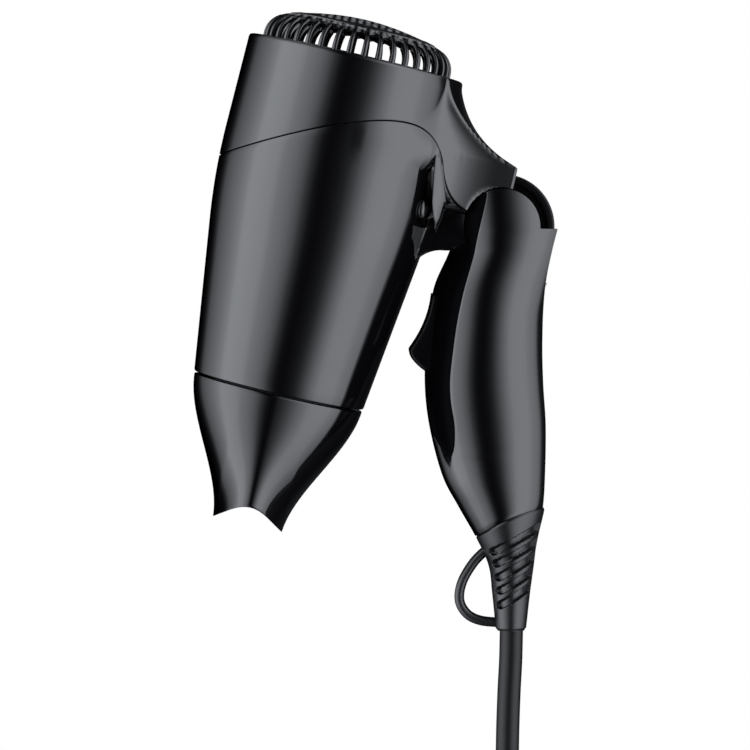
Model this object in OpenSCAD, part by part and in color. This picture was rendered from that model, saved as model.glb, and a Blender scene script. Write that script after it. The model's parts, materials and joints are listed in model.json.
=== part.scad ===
// Folding travel hair dryer, folded up and held by its grip.
// Millimetres. +Z is up, +X runs from the barrel to the grip and Y is the hinge axis.
// The origin is the middle of the grip. Every shape is mirror-symmetric about Y = 0
// unless its module says otherwise.

/* [Barrel] */
// Length from the rear rim to the front seam
barrel_len = 100; // [94:1:124]
// Outer radius at the rear rim
rear_r = 32.1; // [30:0.1:40]
// Outer radius where the rear and front tapers would cross
knee_r = 33; // [31:0.1:41]
// Depth of that crossing below the rear rim
knee_at = 41.5; // [36:0.5:50]
// Outer radius at the front seam
front_r = 25.5; // [25.5:0.1:31]
// Wall of the moulded shells
shell_wall = 2.2; // [1.8:0.1:2.7]
// Lean of the barrel from upright when it is folded, in degrees
barrel_lean = 13.2; // [6:0.1:16]
// Hinge axis, sideways from the barrel axis
pivot_out = 52.7; // [51:0.1:60]
// Hinge axis, below the rear rim
pivot_down = 38.3; // [37:0.1:42]

/* [Intake grille] */
// Radius of the grille where it meets the rear rim
grille_r = 28.1; // [26:0.1:28.4]
// Rise of the dome above the rear rim
grille_rise = 11.7; // [10:0.1:14]
// Thickness of the dome
grille_t = 1.6; // [1.2:0.1:2.2]
// Number of slots around the side
grille_slots = 40; // [30:1:44]
// Width of a slot at its outer end
slot_w = 2.6; // [1.8:0.1:2.8]
// Pitch of the honeycomb on the crown
comb_pitch = 4.6; // [4.2:0.1:6]
// Web between two honeycomb holes
comb_web = 1.2; // [0.8:0.1:1.6]

/* [Nozzle] */
// Length of the concentrator nozzle
nozzle_len = 40.3; // [36:0.1:50]
// Half the gap between the outsides of the lips at the mouth
lip_half = 10.4; // [9:0.1:13]
// Half the width of the mouth along the hinge axis
mouth_half = 24; // [20:0.1:25]
// Depth of the hollow scooped from the mouth's end walls
mouth_scoop = 5.7; // [3:0.1:8]
// Wall of the nozzle
nozzle_wall = 1.8; // [1.4:0.1:2.2]
// Outer radius of the outlet collar that carries the nozzle
collar_r = 20.4; // [19:0.1:20.4]
// How far the collar stands out of the barrel
collar_out = 10; // [8:0.5:14]

/* [Blower] */
// Outer radius of the fan blades
fan_r = 26.6; // [22:0.1:26.6]
// Gap between the blade tips and the duct
tip_gap = 0.7; // [0.5:0.1:1.2]
// Wall of the fan duct
duct_wall = 1.3; // [1:0.1:1.4]
// Number of fan blades
fan_blades = 7; // [5:1:9]
// Radius of the fan hub
hub_r = 9.5; // [7:0.5:11]
// Radius of the motor can
motor_r = 12; // [10:0.5:13.5]
// Length of the motor can
motor_len = 25; // [20:1:27]
// Radius of the motor shaft
shaft_r = 1.15; // [1:0.05:1.6]

/* [Heater] */
// Length of the mica boards
board_len = 34; // [26:1:35]
// Half the width of the mica boards
board_half = 18.6; // [14:0.1:18.6]
// Radius of the heating wire
wire_r = 0.5; // [0.4:0.05:0.6]
// Number of turns of the heating wire
wire_turns = 7; // [5:1:8]

/* [Hinge] */
// Radius of the barrel's drum, which turns inside the fork of the grip
drum_r = 15.3; // [15:0.1:16]
// Half the width of the drum
drum_half = 8.7; // [7.5:0.1:9]
// Radius of the round cheeks of the grip
cheek_r = 11; // [9:0.1:11.5]
// Radius of the hinge pin
pin_r = 2.5; // [2:0.1:3]
// Angle through which the barrel unfolds, in degrees
fold_angle = 77; // [60:1:77]

/* [Grip] */
// Length of the grip from the hinge axis to the corner of its lower end
grip_len = 91.5; // [84:0.5:112]
// Farthest reach of the front edge ahead of the hinge axis
grip_front = 22.5; // [21:0.1:27]
// Farthest reach of the rear edge behind the hinge axis
grip_rear = 13; // [12.5:0.1:15]
// Width of the grip along the hinge axis
grip_w = 29; // [28:0.1:35]
// Height of the hinge axis above the middle of the grip
hinge_up = 48; // [44:0.5:58]
// Offset of the hinge axis from the middle of the grip
hinge_side = 5; // [3:0.1:7]
// Length of the moulded strain relief below the grip
relief_len = 27.5; // [24:0.5:36]
// Diameter of the strand of the hanging loop
loop_d = 2.9; // [2.4:0.1:3.4]

/* [Switch] */
// Travel of the thumb slide from off to the second heat setting
switch_travel = 6; // [4:0.5:7]
// Length of the thumb slide
knob_len = 22.6; // [18:0.1:25]
// Height of the thumb slide above its track
knob_rise = 5.4; // [4:0.1:6.5]
// Width of the thumb slide
knob_w = 13; // [10:0.5:15]

/* [Cord] */
// Diameter of the flat-jacketed mains cord
cord_d = 7; // [6:0.1:7]
// Number of full turns in the hank
hank_turns = 5; // [4:1:6]
// Radius of the hank's folds, on the centreline of the cord
fold_r = 22; // [21:0.5:26]
// Length of the hank's straight runs
hank_run = 92; // [80:1:96]

/* [Plug] */
// Width of the plug body
plug_w = 35; // [33:0.5:37]
// Depth of the plug body
plug_t = 16; // [14:0.5:18]
// Length of the plug body
plug_len = 36; // [32:0.5:42]
// Distance between the two pins
pin_pitch = 19; // [18:0.1:20]
// Diameter of a pin
plug_pin_d = 4.8; // [4:0.1:4.8]
// Length of a pin
plug_pin_len = 19; // [16:0.5:20]

/* [Hidden] */
$fn = 72;
// Clearances: seam between shells, sliding or turning faces, pin or shaft in its bore, and fixed parts
seam_gap = 0.3;
run_gap = 0.3;
bore_gap = 0.05;
seat_gap = 0.1;
// A cut runs this far past the face it opens
past = 1;

// Barrel outline
knee_half = 14;
rim_depth = 3;
rim_corner = 0.8;
rear_slope = (knee_r - rear_r) / knee_at;
front_slope = (knee_r - front_r) / (barrel_len - knee_at);
knee_loss = 0.6;

// Blower stations, as depths below the rear rim
grille_foot = 3.6;
duct_top = grille_foot + 1.4;
fan_top = duct_top + 3;
fan_depth = 11;
motor_top = fan_top + fan_depth + 3;
cup_wall = 1.4;
duct_r = fan_r + tip_gap;
duct_end = motor_top + motor_len + 2;
board_top = barrel_len - 8 - 2 - board_len;
shield_r = board_half + 2 * wire_r + 2 * run_gap + 2.4;
shield_wall = 0.6;
collar_wall = 1.5;
collar_top = barrel_len - 8;
guard_depth = 2.4;

// Nozzle
ring_t = 1.2;
ring_len = 4;
ring_at = barrel_len + 1.8;
nozzle_top = barrel_len + 0.6;
nozzle_r = front_r - 0.2;
nozzle_bore = collar_r + ring_t + 2 * run_gap;

// Hinge
cheek_gap = 0.3;
cheek_half = 14;
neck_half = 14;
neck_end_r = 17.2;
neck_toe_r = 16.8;
handle_back_a = -2.4;
neck_end_a = handle_back_a + fold_angle + 0.4;
neck_toe_a = 204.6;
handle_front_a = neck_toe_a + 0.6;
drum_wall = 2.2;
// Radius of the neck's end where the rear shell flares into the barrel
flare_r = 11.5;

// Screws
screw_r = 1.4;
screw_head_r = 2.7;
screw_head_t = 1.6;
cap_depth = 1.2;
cap_w = 5;
cap_run = 3;
housing_screw_at = [30.2, -38.5];
grip_screws = [[4.5, -27], [-3, -65]];

// Switch track on the front of the grip: its middle and its lean, in the hinge frame
track_x = -21.3;
track_z = -31;
track_lean = 5.4;
track_floor = 1.2;
track_pad = 2;
stem_half = [2.4, 3.8];
stem_end = 8.6;

// Cord, in the hinge frame
exit_x = 3.1;
exit_z = -(grip_len + relief_len);
hank_x = 1.9 - fold_r;
hank_z = -190;
cord_route = [[3.1, 0, -119], [2.9, 0, -128], [2.4, 0, -138], [2, 0, -152], [1.9, 0, -171], [1.9, 0, -190]];
tail_y = cord_d * hank_turns;
tail_route = [[1.9, 35, -282], [1.9, 35, -300], [1.9, 35, -318]];
plug_z = -318;
plug_relief = 12;
pin_root_r = 1.6;
pin_root_len = 8;

// ---------------------------------------------------------------- curves

// Points of a quadratic curve from a to c, pulled towards b
function bend(a, b, c, n) = [for (i = [0:n]) let (t = i / n) (1 - t) * (1 - t) * a + 2 * t * (1 - t) * b + t * t * c];

// Points of an arc about centre c
function arc(c, r, from, to, n) = [for (i = [0:n]) let (a = from + (to - from) * i / n) c + r * [cos(a), sin(a)]];

// The value of a smooth curve through list v at place t, which counts the list's gaps
function through(v, t) = let (n = len(v) - 1, i = min(floor(t), n - 1), f = t - i,
    a = v[max(i - 1, 0)], b = v[i], c = v[i + 1], d = v[min(i + 2, n)])
    0.5 * (2 * b + (c - a) * f + (2 * a - 5 * b + 4 * c - d) * f * f + (3 * b - a - 3 * c + d) * f * f * f);

// Points all along a smooth curve through list v, with k steps in each gap
function smooth(v, k) = [for (i = [0:k * (len(v) - 1)]) through(v, i / k)];

function reversed(v) = [for (i = [len(v) - 1:-1:0]) v[i]];

function unit(v) = v / norm(v);

// One ring of a rounded-square section: half sizes a and b, centre c, squareness e
function ring(c, a, b, e, n) = [for (i = [0:n - 1]) let (t = 360 * i / n, x = cos(t), y = sin(t))
    c + [a * sign(x) * pow(abs(x), 2 / e), b * sign(y) * pow(abs(y), 2 / e), 0]];

// A closed solid through rings that all have the same number of points; the points run
// counter-clockwise about the way from one ring to the next
module loft(rings) {
    n = len(rings[0]);
    m = len(rings);
    points = [for (r = rings) each r];
    sides = [for (j = [0:m - 2], i = [0:n - 1])
        [j * n + i, (j + 1) * n + i, (j + 1) * n + (i + 1) % n, j * n + (i + 1) % n]];
    polyhedron(points, concat([[for (i = [0:n - 1]) i]], sides, [[for (i = [n - 1:-1:0]) (m - 1) * n + i]]),
        convexity = 6);
}

// A closed solid through rings that come back to the first one, such as a wall with an inner and an outer face
module looped_loft(rings) {
    n = len(rings[0]);
    m = len(rings);
    polyhedron([for (r = rings) each r], [for (j = [0:m - 1], i = [0:n - 1]) let (k = (j + 1) % m)
        [j * n + i, k * n + i, k * n + (i + 1) % n, j * n + (i + 1) % n]], convexity = 6);
}

// A round rod of radius r swept along a path
module rod(path, r, sides) {
    last = len(path) - 1;
    function along(i) = unit(path[min(i + 1, last)] - path[max(i - 1, 0)]);
    function across(i) = unit(cross(along(i), abs(along(i).y) > 0.9 ? [1, 0, 0] : [0, 1, 0]));
    loft([for (i = [0:last]) let (u = across(i), w = cross(along(i), u))
        [for (k = [0:sides - 1]) path[i] + r * (cos(360 * k / sides) * u + sin(360 * k / sides) * w)]]);
}

// A side-view outline given depth along the hinge axis, centred on Y = 0
module side_slab(width) {
    rotate([90, 0, 0]) linear_extrude(width, center = true) children();
}

// A cylinder along the hinge axis, from y0 to y1
module cross_pin(r, y0, y1) {
    translate([0, y0, 0]) rotate([-90, 0, 0]) cylinder(r = r, h = y1 - y0);
}

// A tube about the barrel axis, between two depths below the rear rim
module barrel_tube(r_out, r_in, top, bottom) {
    translate([0, 0, -bottom]) rotate(45) difference() {
        cylinder(r = r_out, h = bottom - top);
        translate([0, 0, -past]) cylinder(r = r_in, h = bottom - top + 2 * past);
    }
}

module mirrored_y() {
    children();
    mirror([0, 1, 0]) children();
}

// ---------------------------------------------------------------- frames

// The hinge frame: the hinge axis is its Y axis
module at_hinge() {
    translate([hinge_side, 0, hinge_up]) children();
}

// The barrel frame: its origin is the middle of the rear rim, +Z leaves through the grille, +X points to the grip
module at_barrel() {
    at_hinge() rotate([0, barrel_lean, 0]) translate([-pivot_out, 0, pivot_down]) children();
}

// The track frame: its X axis points into the grip and its Z axis is the way the thumb slide travels
module at_track() {
    at_hinge() translate([track_x, 0, track_z]) rotate([0, track_lean, 0]) children();
}

// The hinge axis seen in the barrel frame
pivot = [pivot_out, -pivot_down];

// ---------------------------------------------------------------- barrel shells

// Right-hand outline of the barrel, from the rear rim to the front seam, moved inwards by inset
function barrel_outline(inset) = let (
    a = [knee_r - rear_slope * knee_half, knee_half - knee_at],
    c = [knee_r - front_slope * knee_half, -knee_at - knee_half])
    [for (p = concat([[rear_r, 0]], bend(a, [knee_r, -knee_at], c, 6), [[front_r, -barrel_len]])) p - [inset, 0]];

// A radius that clears the inside of the barrel at a depth below the rear rim
function inside_r(depth) = min(rear_r + rear_slope * depth, front_r + front_slope * (barrel_len - depth))
    - shell_wall - knee_loss;

module barrel_wall() {
    mouth_r = grille_r + seat_gap;
    inner = barrel_outline(shell_wall);
    rotate_extrude() polygon(concat(
        [[mouth_r, 0], [rear_r - rim_corner, 0], [rear_r, -rim_corner]],
        [for (i = [1:len(inner) - 1]) barrel_outline(0)[i]],
        [for (i = [len(inner) - 1:-1:1]) inner[i]],
        [[rear_r - shell_wall, -rim_depth - 2], [mouth_r, -rim_depth]]));
}

// Side outline of the neck between the barrel and the hinge, in the barrel frame
neck_outline = concat(
    [[rear_r - 6, -rim_depth]],
    bend([rear_r - 0.4, -rim_corner], [pivot.x - 16.2, pivot.y + 23], [pivot.x - 0.5, pivot.y + 18], 10),
    [pivot + neck_end_r * [cos(neck_end_a + barrel_lean), sin(neck_end_a + barrel_lean)]],
    arc(pivot, cheek_r + cheek_gap, neck_end_a + barrel_lean, neck_toe_a + barrel_lean, 16),
    [pivot + neck_toe_r * [cos(neck_toe_a + barrel_lean), sin(neck_toe_a + barrel_lean)]],
    bend(pivot + [-14.2, -9.5], pivot + [-18.6, -9.5], pivot + [-21.4, -14], 5),
    [[rear_r - 6, -pivot_down - 18]]);

// The rear shell's part flares to the full width of the barrel; the front shell's part is as wide as the cheeks
module neck(flared) {
    difference() {
        if (flared) intersection() {
            side_slab(4 * rear_r) polygon(neck_outline);
            translate([0, 0, -pivot_down - 2]) linear_extrude(pivot_down + 4) hull() {
                circle(rear_r - 0.5);
                translate([pivot.x - flare_r, 0]) circle(flare_r);
            }
        } else side_slab(2 * neck_half) polygon(neck_outline);
        translate([pivot.x, 0, pivot.y]) cross_pin(drum_r + seat_gap, -drum_half - cheek_gap, drum_half + cheek_gap);
        translate([0, 0, -barrel_len]) cylinder(r = rear_r - 1, h = barrel_len + past);
        // Way for the leads, from the drum to the inside of the barrel
        translate([rear_r - 6, -5, pivot.y - 3]) cube([18, 10, 10]);
    }
}

module barrel_and_neck(flared) {
    difference() {
        union() {
            barrel_wall();
            neck(flared);
        }
        translate([rear_r - 8, -5, pivot.y - 3]) cube([18, 10, 10]);
        housing_screw_holes();
    }
}

// Everything behind the seam that runs round the barrel and along the neck
module rear_side(drop) {
    start = [19.7, -15.4 - drop];
    dip = [31.6, -24.5 - drop];
    hinge_end = [43, -36.4 - drop];
    side_slab(4 * rear_r) polygon(concat(
        bend([-rear_r - 4, -38.6 - drop], [4, -15.2 - drop], start, 10),
        bend(start, [28, start.y], dip, 6),
        bend(dip, [34.6, -35.6 - drop], hinge_end, 6),
        [[pivot_out + 20, hinge_end.y], [pivot_out + 20, 30], [-rear_r - 4, 30]]));
}

module housing_screw_holes() {
    mirrored_y() translate([housing_screw_at.x, 0, housing_screw_at.y]) {
        cross_pin(screw_r + bore_gap, neck_half - 9, neck_half + past);
        cross_pin(screw_head_r + seat_gap, neck_half - cap_depth - screw_head_t - seat_gap, neck_half + past);
        translate([0, neck_half - cap_depth - seat_gap, 0]) cap_shape(seat_gap, cap_depth + past);
    }
}

module rear_housing() {
    color("#1c1d1e") at_barrel() intersection() {
        barrel_and_neck(true);
        rear_side(0);
    }
}

module front_shell() {
    color("#18191a") at_barrel() difference() {
        barrel_and_neck(false);
        rear_side(seam_gap);
    }
}

// ---------------------------------------------------------------- intake grille

// Outline of the dome, from its foot to its crown, moved inwards by inset
function dome_outline(inset) = let (crown = grille_rise - inset, r = grille_r - inset, shoulder = grille_rise * 0.75)
    concat(bend([r, 1.5], [r - 0.2, shoulder - 2 - inset], [0.71 * r, shoulder - inset], 6),
        [for (p = bend([0.71 * r, shoulder - inset], [0.3 * r, crown], [0, crown], 6)) p]);

// Six-sided holes in a honeycomb, out to a radius
module comb_holes(reach) {
    rows = ceil(reach / (comb_pitch * 0.866));
    for (j = [-rows:rows], i = [-rows - 2:rows + 2]) {
        x = (i + (abs(j) % 2) / 2) * comb_pitch;
        y = j * comb_pitch * 0.866;
        if (norm([x, y]) < reach)
            translate([x, y, 1]) rotate(30) cylinder(r = (comb_pitch - comb_web) / sqrt(3), h = grille_rise, $fn = 6);
    }
}

module intake_grille() {
    slot_in = 0.7 * grille_r;
    slot_in_w = 2 * PI * slot_in / grille_slots - 1.3;
    color("#141516") at_barrel() difference() {
        rotate_extrude() polygon(concat([[grille_r - grille_t, -grille_foot], [grille_r, -grille_foot]],
            dome_outline(0), reversed(dome_outline(grille_t))));
        for (i = [1:grille_slots]) rotate(360 * i / grille_slots) translate([0, 0, 1])
            linear_extrude(grille_rise) polygon([[slot_in, -slot_in_w / 2], [grille_r + past, -slot_w / 2],
                [grille_r + past, slot_w / 2], [slot_in, slot_in_w / 2]]);
        comb_holes(slot_in - comb_pitch / 2);
    }
}

// ---------------------------------------------------------------- blower

module fan_duct() {
    vanes = 6;
    cup_r = motor_r + seat_gap;
    color("#2b2d30") at_barrel() translate([0, 0, -duct_end]) {
        // The wall, open along one side for the leads
        linear_extrude(duct_end - duct_top) difference() {
            circle(duct_r + duct_wall);
            circle(duct_r);
            translate([duct_r - 2, -5]) square([8, 10]);
        }
        // The motor's cup and the vanes that carry it
        translate([0, 0, 1]) linear_extrude(motor_len - 3) difference() {
            union() {
                circle(cup_r + cup_wall);
                for (i = [1:vanes]) rotate(360 * (i + 0.5) / vanes)
                    translate([cup_r, -0.7]) square([duct_r - cup_r + 0.6, 1.4]);
            }
            circle(cup_r);
        }
    }
}

module motor() {
    color("#9a9c9e") at_barrel() difference() {
        union() {
            translate([0, 0, -motor_top - motor_len]) cylinder(r = motor_r, h = motor_len);
            translate([0, 0, -motor_top]) cylinder(r = 3.5, h = 1.5);
        }
        translate([0, 0, -motor_top - motor_len - past]) cylinder(r = shaft_r + bore_gap, h = motor_len + 4);
    }
}

module motor_shaft() {
    color("#c4c6c8") at_barrel() translate([0, 0, -motor_top - motor_len + 2])
        cylinder(r = shaft_r, h = motor_len + motor_top - fan_top - 3);
}

module fan_impeller() {
    blade_pitch = 38;
    color("#3a3c3f") at_barrel() translate([0, 0, -fan_top - fan_depth]) difference() {
        union() {
            cylinder(r = hub_r, h = fan_depth);
            intersection() {
                cylinder(r = fan_r, h = fan_depth);
                for (i = [1:fan_blades]) rotate(360 * i / fan_blades) translate([fan_r / 2, 0, fan_depth / 2])
                    rotate([90 - blade_pitch, 0, 0]) cube([fan_r + 2, 1.3, 24], center = true);
            }
        }
        translate([0, 0, -past]) cylinder(r = shaft_r, h = fan_depth + 2 * past);
        translate([0, 0, -past]) difference() {
            cylinder(r = hub_r - 1.5, h = fan_depth - 1);
            cylinder(r = 3, h = fan_depth - 1);
        }
    }
}

module rectifier_board() {
    top = motor_top + motor_len + 0.6;
    color("#2f6b46") at_barrel() translate([0, 0, -top - 1.6]) difference() {
        union() {
            cylinder(r = motor_r, h = 1.6);
            for (a = [45:90:315]) rotate(a) translate([6, -1.5, -2.6]) cube([5, 3, 2.6]);
        }
        translate([0, 0, -past]) cylinder(r = 2.5, h = 4);
    }
}

// ---------------------------------------------------------------- heater

module heater_boards() {
    slots = 4;
    color("#c9b48a") at_barrel() translate([0, 0, -board_top - board_len]) difference() {
        union() {
            translate([-board_half, -0.4, 0]) cube([2 * board_half, 0.8, board_len]);
            translate([-0.4, -board_half, 0]) cube([0.8, 2 * board_half, board_len]);
        }
        for (i = [1:slots], a = [0, 90]) rotate(a) translate([6, -past, board_len * i / (slots + 1) - 1.5])
            cube([5, 2 * past, 3]);
    }
}

module heater_coil() {
    steps = 14;
    span = board_len - 8;
    coil_r = board_half + wire_r + run_gap + 0.6;
    color("#8d8172") at_barrel() translate([0, 0, -board_top - 4]) rod([for (i = [0:wire_turns * steps])
        let (a = 360 * i / steps) [coil_r * cos(a), coil_r * sin(a), -span * i / (wire_turns * steps)]], wire_r, 6);
}

module heat_shield() {
    color("#b9a67c") at_barrel()
        barrel_tube(shield_r, shield_r - shield_wall, board_top - 1, collar_top - 0.4);
}

module thermostat() {
    color("#b0b2b4") at_barrel() translate([7, 0.5, -board_top - board_len + 4]) rotate([-90, 0, 0])
        cylinder(r = 3.4, h = 3);
}

module thermal_fuse() {
    color("#d8d8d2") at_barrel() translate([-8, -2.2, -board_top - board_len + 3]) cylinder(r = 1.7, h = 9);
}

module barrel_leads() {
    color("#7a2222") at_barrel() for (y = [-2.4, 2.4])
        rod(smooth([[rear_r + 9, y, pivot.y + 1], [rear_r - 2, y, pivot.y + 0.5], [duct_r - 2, y, -duct_end - 1.2],
            [20, y, -duct_end - 4], [13, y, -board_top + 1.4]], 5), 1, 8);
}

// ---------------------------------------------------------------- outlet and nozzle

module outlet_collar() {
    flange_r = inside_r(collar_top + 2) + knee_loss - 0.4;
    color("#202122") at_barrel() {
        barrel_tube(collar_r, collar_r - collar_wall, collar_top, barrel_len + collar_out);
        barrel_tube(flange_r, collar_r - collar_wall, collar_top, collar_top + 2);
    }
}

module outlet_guard() {
    guard_r = collar_r - collar_wall - seat_gap;
    bar = 1.2;
    color("#2a2b2c") at_barrel() translate([0, 0, -barrel_len - collar_out + 2]) linear_extrude(guard_depth)
        difference() {
            circle(guard_r);
            for (r = [bar + 4, 2 * bar + 9.6, 3 * bar + 14.4]) difference() {
                circle(min(r, guard_r - bar));
                circle(r < 8 ? bar : r - 5);
                for (a = [0:60:120]) rotate(a + 15) square([3 * guard_r, bar], center = true);
            }
        }
}

module nozzle_clip_ring() {
    split = 3;
    color("#6d7073") at_barrel() difference() {
        barrel_tube(collar_r + run_gap + ring_t, collar_r + run_gap, ring_at, ring_at + ring_len);
        translate([-collar_r - 4, -split / 2, -ring_at - ring_len - past]) cube([6, split, ring_len + 2 * past]);
    }
}

// Half the thickness of the nozzle at a share t of its length: round at first, then drawn in to the lips
function lip_at(t) = let (ease = t * t * (3 - 2 * t)) nozzle_r + (lip_half - nozzle_r) * (0.82 * ease + 0.18 * t);

// Half the thickness of the nozzle's hollow: round where the clip ring sits, then a wall inside the outer face
function hollow_at(t) = min(nozzle_bore, lip_at(t) - nozzle_wall);

// One ring of the nozzle, half sizes a and b, at a share t of its length. Its ends sharpen into a ridge
// towards the mouth, whose end walls are scooped back
function nozzle_section(t, a, b) = let (n = 48, peak = 0.35 * t)
    [for (i = [0:n - 1]) let (w = 360 * i / n, keen = 1 - peak * abs(sin(w)) * (1 - abs(sin(w))), x = a * cos(w) * keen,
        scoop = mouth_scoop * (1 - pow(x / nozzle_r, 2)) * (lip_half < abs(x) ? 0 : 1 - pow(x / lip_half, 2)))
        [x, b * sin(w), -nozzle_top - t * (nozzle_len - scoop)]];

module concentrator_nozzle() {
    steps = 14;
    outer = [for (i = [0:steps]) let (t = i / steps)
        nozzle_section(t, lip_at(t), nozzle_r + (mouth_half - nozzle_r) * t)];
    inner = [for (i = [0:steps]) let (t = i / steps) nozzle_section(t, hollow_at(t), nozzle_bore)];
    color("#17181a") at_barrel() looped_loft(concat(reversed(outer), inner));
}

// ---------------------------------------------------------------- hinge

module hinge_drum() {
    boss_r = pin_r + 3;
    pocket = drum_half - 1;
    color("#101112") at_hinge() difference() {
        cross_pin(drum_r, -drum_half, drum_half);
        cross_pin(pin_r + bore_gap, -drum_half - past, drum_half + past);
        mirrored_y() difference() {
            cross_pin(drum_r - drum_wall, 1, drum_half + past);
            cross_pin(boss_r, 0, drum_half + 2 * past);
        }
        // Ways for the leads, into the neck and down into the grip
        rotate([0, barrel_lean, 0]) translate([-drum_r - past, -5, -3]) cube([drum_r - boss_r - 1, 10, 8]);
        translate([-4, -5, -drum_r - past]) cube([8, 10, drum_r - boss_r]);
        // Pocket that the detent ball drops into
        rotate([0, 35, 0]) translate([0, 0, -drum_r]) rotate([0, 0, 90]) cross_pin(1.2, -2, 2);
    }
}

module hinge_pin() {
    color("#b8babc") at_hinge() cross_pin(pin_r, -cheek_half + 1.5, cheek_half - 1.5);
}

// The detent sits in the grip, below and behind the drum
module at_detent() {
    at_hinge() rotate([0, 180 - 35, 0]) translate([0, 0, drum_r + run_gap]) children();
}

module detent_ball() {
    color("#c8cacc") at_detent() translate([0, 0, 1.5]) sphere(r = 1.5);
}

module detent_spring() {
    steps = 12;
    turns = 3;
    color("#a4a6a8") at_detent() translate([0, 0, 3.3]) rod([for (i = [0:turns * steps])
        let (a = 360 * i / steps) [1.1 * cos(a), 1.1 * sin(a), 3 * i / (turns * steps)]], 0.25, 6);
}

// ---------------------------------------------------------------- screws and caps

// An oval about the hinge-wise axis, from y = 0 outwards
module cap_shape(grow, depth) {
    r = cap_w / 2 + grow;
    rotate([0, 60, 0]) rotate([-90, 0, 0]) linear_extrude(depth) union() {
        translate([-cap_run / 2, 0]) circle(r);
        translate([cap_run / 2, 0]) circle(r);
        translate([-cap_run / 2, -r]) square([cap_run, 2 * r]);
    }
}

// A round-headed screw along the hinge-wise axis; its head ends at y = 0 and its point is towards -Y
module screw(length) {
    difference() {
        union() {
            cross_pin(screw_head_r, -screw_head_t, 0);
            cross_pin(screw_r, -length, -screw_head_t / 2);
        }
        for (a = [0, 90]) rotate([0, a, 0]) translate([-1.6, -0.7, -0.3]) cube([3.2, past + 0.7, 0.6]);
    }
}

module housing_screws() {
    color("#8c8e90") at_barrel() mirrored_y() translate([housing_screw_at.x, neck_half - cap_depth - seat_gap,
        housing_screw_at.y]) screw(7);
}

module screw_caps() {
    color("#1c1d1e") at_barrel() mirrored_y() translate([housing_screw_at.x, neck_half - cap_depth,
        housing_screw_at.y]) cap_shape(0, cap_depth);
}

// ---------------------------------------------------------------- grip

// Stations down the grip and its strain relief: [depth, front edge, rear edge, half width], in the hinge frame
grip_half = grip_w / 2;
tail_x = exit_x;
grip_stations = [
    [-4, -0.55 * grip_front, 1.35 * grip_rear, 0.96 * grip_half],
    [0.08 * grip_len, -0.68 * grip_front, 1.12 * grip_rear, 0.97 * grip_half],
    [0.2 * grip_len, -0.885 * grip_front, 0.97 * grip_rear, 0.99 * grip_half],
    [0.36 * grip_len, -0.97 * grip_front, 0.92 * grip_rear, grip_half],
    [0.5 * grip_len, -grip_front, 0.94 * grip_rear, 0.98 * grip_half],
    [0.64 * grip_len, -0.94 * grip_front, grip_rear, 0.95 * grip_half],
    [0.8 * grip_len, -0.77 * grip_front, 0.985 * grip_rear, 0.89 * grip_half],
    [0.9 * grip_len, -0.56 * grip_front, 0.94 * grip_rear, 0.82 * grip_half],
    [grip_len, tail_x - 10.5, tail_x + 7.6, 0.71 * grip_half],
    [grip_len + 0.3 * relief_len, tail_x - 6.8, tail_x + 6.6, 0.54 * grip_half],
    [grip_len + 0.6 * relief_len, tail_x - 5.7, tail_x + 5.5, 0.42 * grip_half],
    [grip_len + relief_len, tail_x - 4.6, tail_x + 4.3, 0.33 * grip_half]];

function grip_ring(t, inset) = let (s = through(grip_stations, t))
    ring([(s[1] + s[2]) / 2, 0, -s[0]], (s[2] - s[1]) / 2 - inset, s[3] - inset, 2.4, 32);

module grip_solid(inset, from, to, step) {
    loft(reversed([for (t = [from:step:to]) grip_ring(t, inset)]));
}

// Everything below the slanting seam between the grip and the strain relief
module below_seam(drop) {
    side_slab(2 * grip_w) polygon(concat([[-40, -grip_len - 25 - drop]],
        bend([-12, -grip_len - 3.6 - drop], [0, -grip_len + 9.2 - drop], [grip_rear + 4, -grip_len + 9.2 - drop], 8),
        [[grip_rear + 4, exit_z - 20], [-40, exit_z - 20]]));
}

// The sector about the hinge that the neck sweeps as the barrel unfolds
module neck_sweep() {
    reach = 60;
    side_slab(2 * grip_w) polygon(concat(
        arc([0, 0], cheek_r, handle_back_a, handle_front_a, 24),
        [for (a = [handle_front_a:-handle_front_a / 5:0]) reach * [cos(a), sin(a)]],
        [reach * [cos(handle_back_a), sin(handle_back_a)]]));
}

// The grip before it is split into its shells and its front cover
module grip_hull() {
    difference() {
        union() {
            difference() {
                grip_solid(0, 0, 9, 0.5);
                neck_sweep();
                below_seam(0);
            }
            mirrored_y() cross_pin(cheek_r, drum_half + cheek_gap, cheek_half);
        }
        // Fork for the drum
        cross_pin(drum_r + run_gap, -drum_half - cheek_gap, drum_half + cheek_gap);
        // Hollow of the grip
        difference() {
            grip_solid(shell_wall, 1, 7.5, 0.5);
            cross_pin(drum_r + run_gap + shell_wall, -grip_w, grip_w);
        }
        cross_pin(pin_r, -cheek_half + 1.5 - seat_gap, cheek_half - 1.5 + seat_gap);
        // Mouth for the leads
        translate([-4, -5, -drum_r - 5]) cube([8, 10, 8]);
        // Pocket of the detent
        rotate([0, 180 - 35, 0]) translate([0, 0, drum_r - 1]) cylinder(r = 1.5 + seat_gap, h = 8);
    }
}

// Everything ahead of the line where the front cover meets the shells
module cover_side(grow) {
    top = [-cheek_r - 1.6 + grow, -2];
    foot = [-13.8 + grow, -0.69 * grip_len];
    side_slab(2 * grip_w) polygon(concat([[-40, -2]],
        bend(top, [-16.6 + grow, -0.46 * grip_len], foot, 8),
        bend(foot, [-14 + grow, -0.76 * grip_len - grow], [-20, -0.735 * grip_len - grow], 4),
        [[-40, -0.735 * grip_len - grow]]));
}

module grip_bosses(grow) {
    for (s = grip_screws) translate([s.x, 0, s.y]) cross_pin(screw_r + 1.6 + grow, -grip_half + 1.4, grip_half - 1.4);
}

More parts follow.
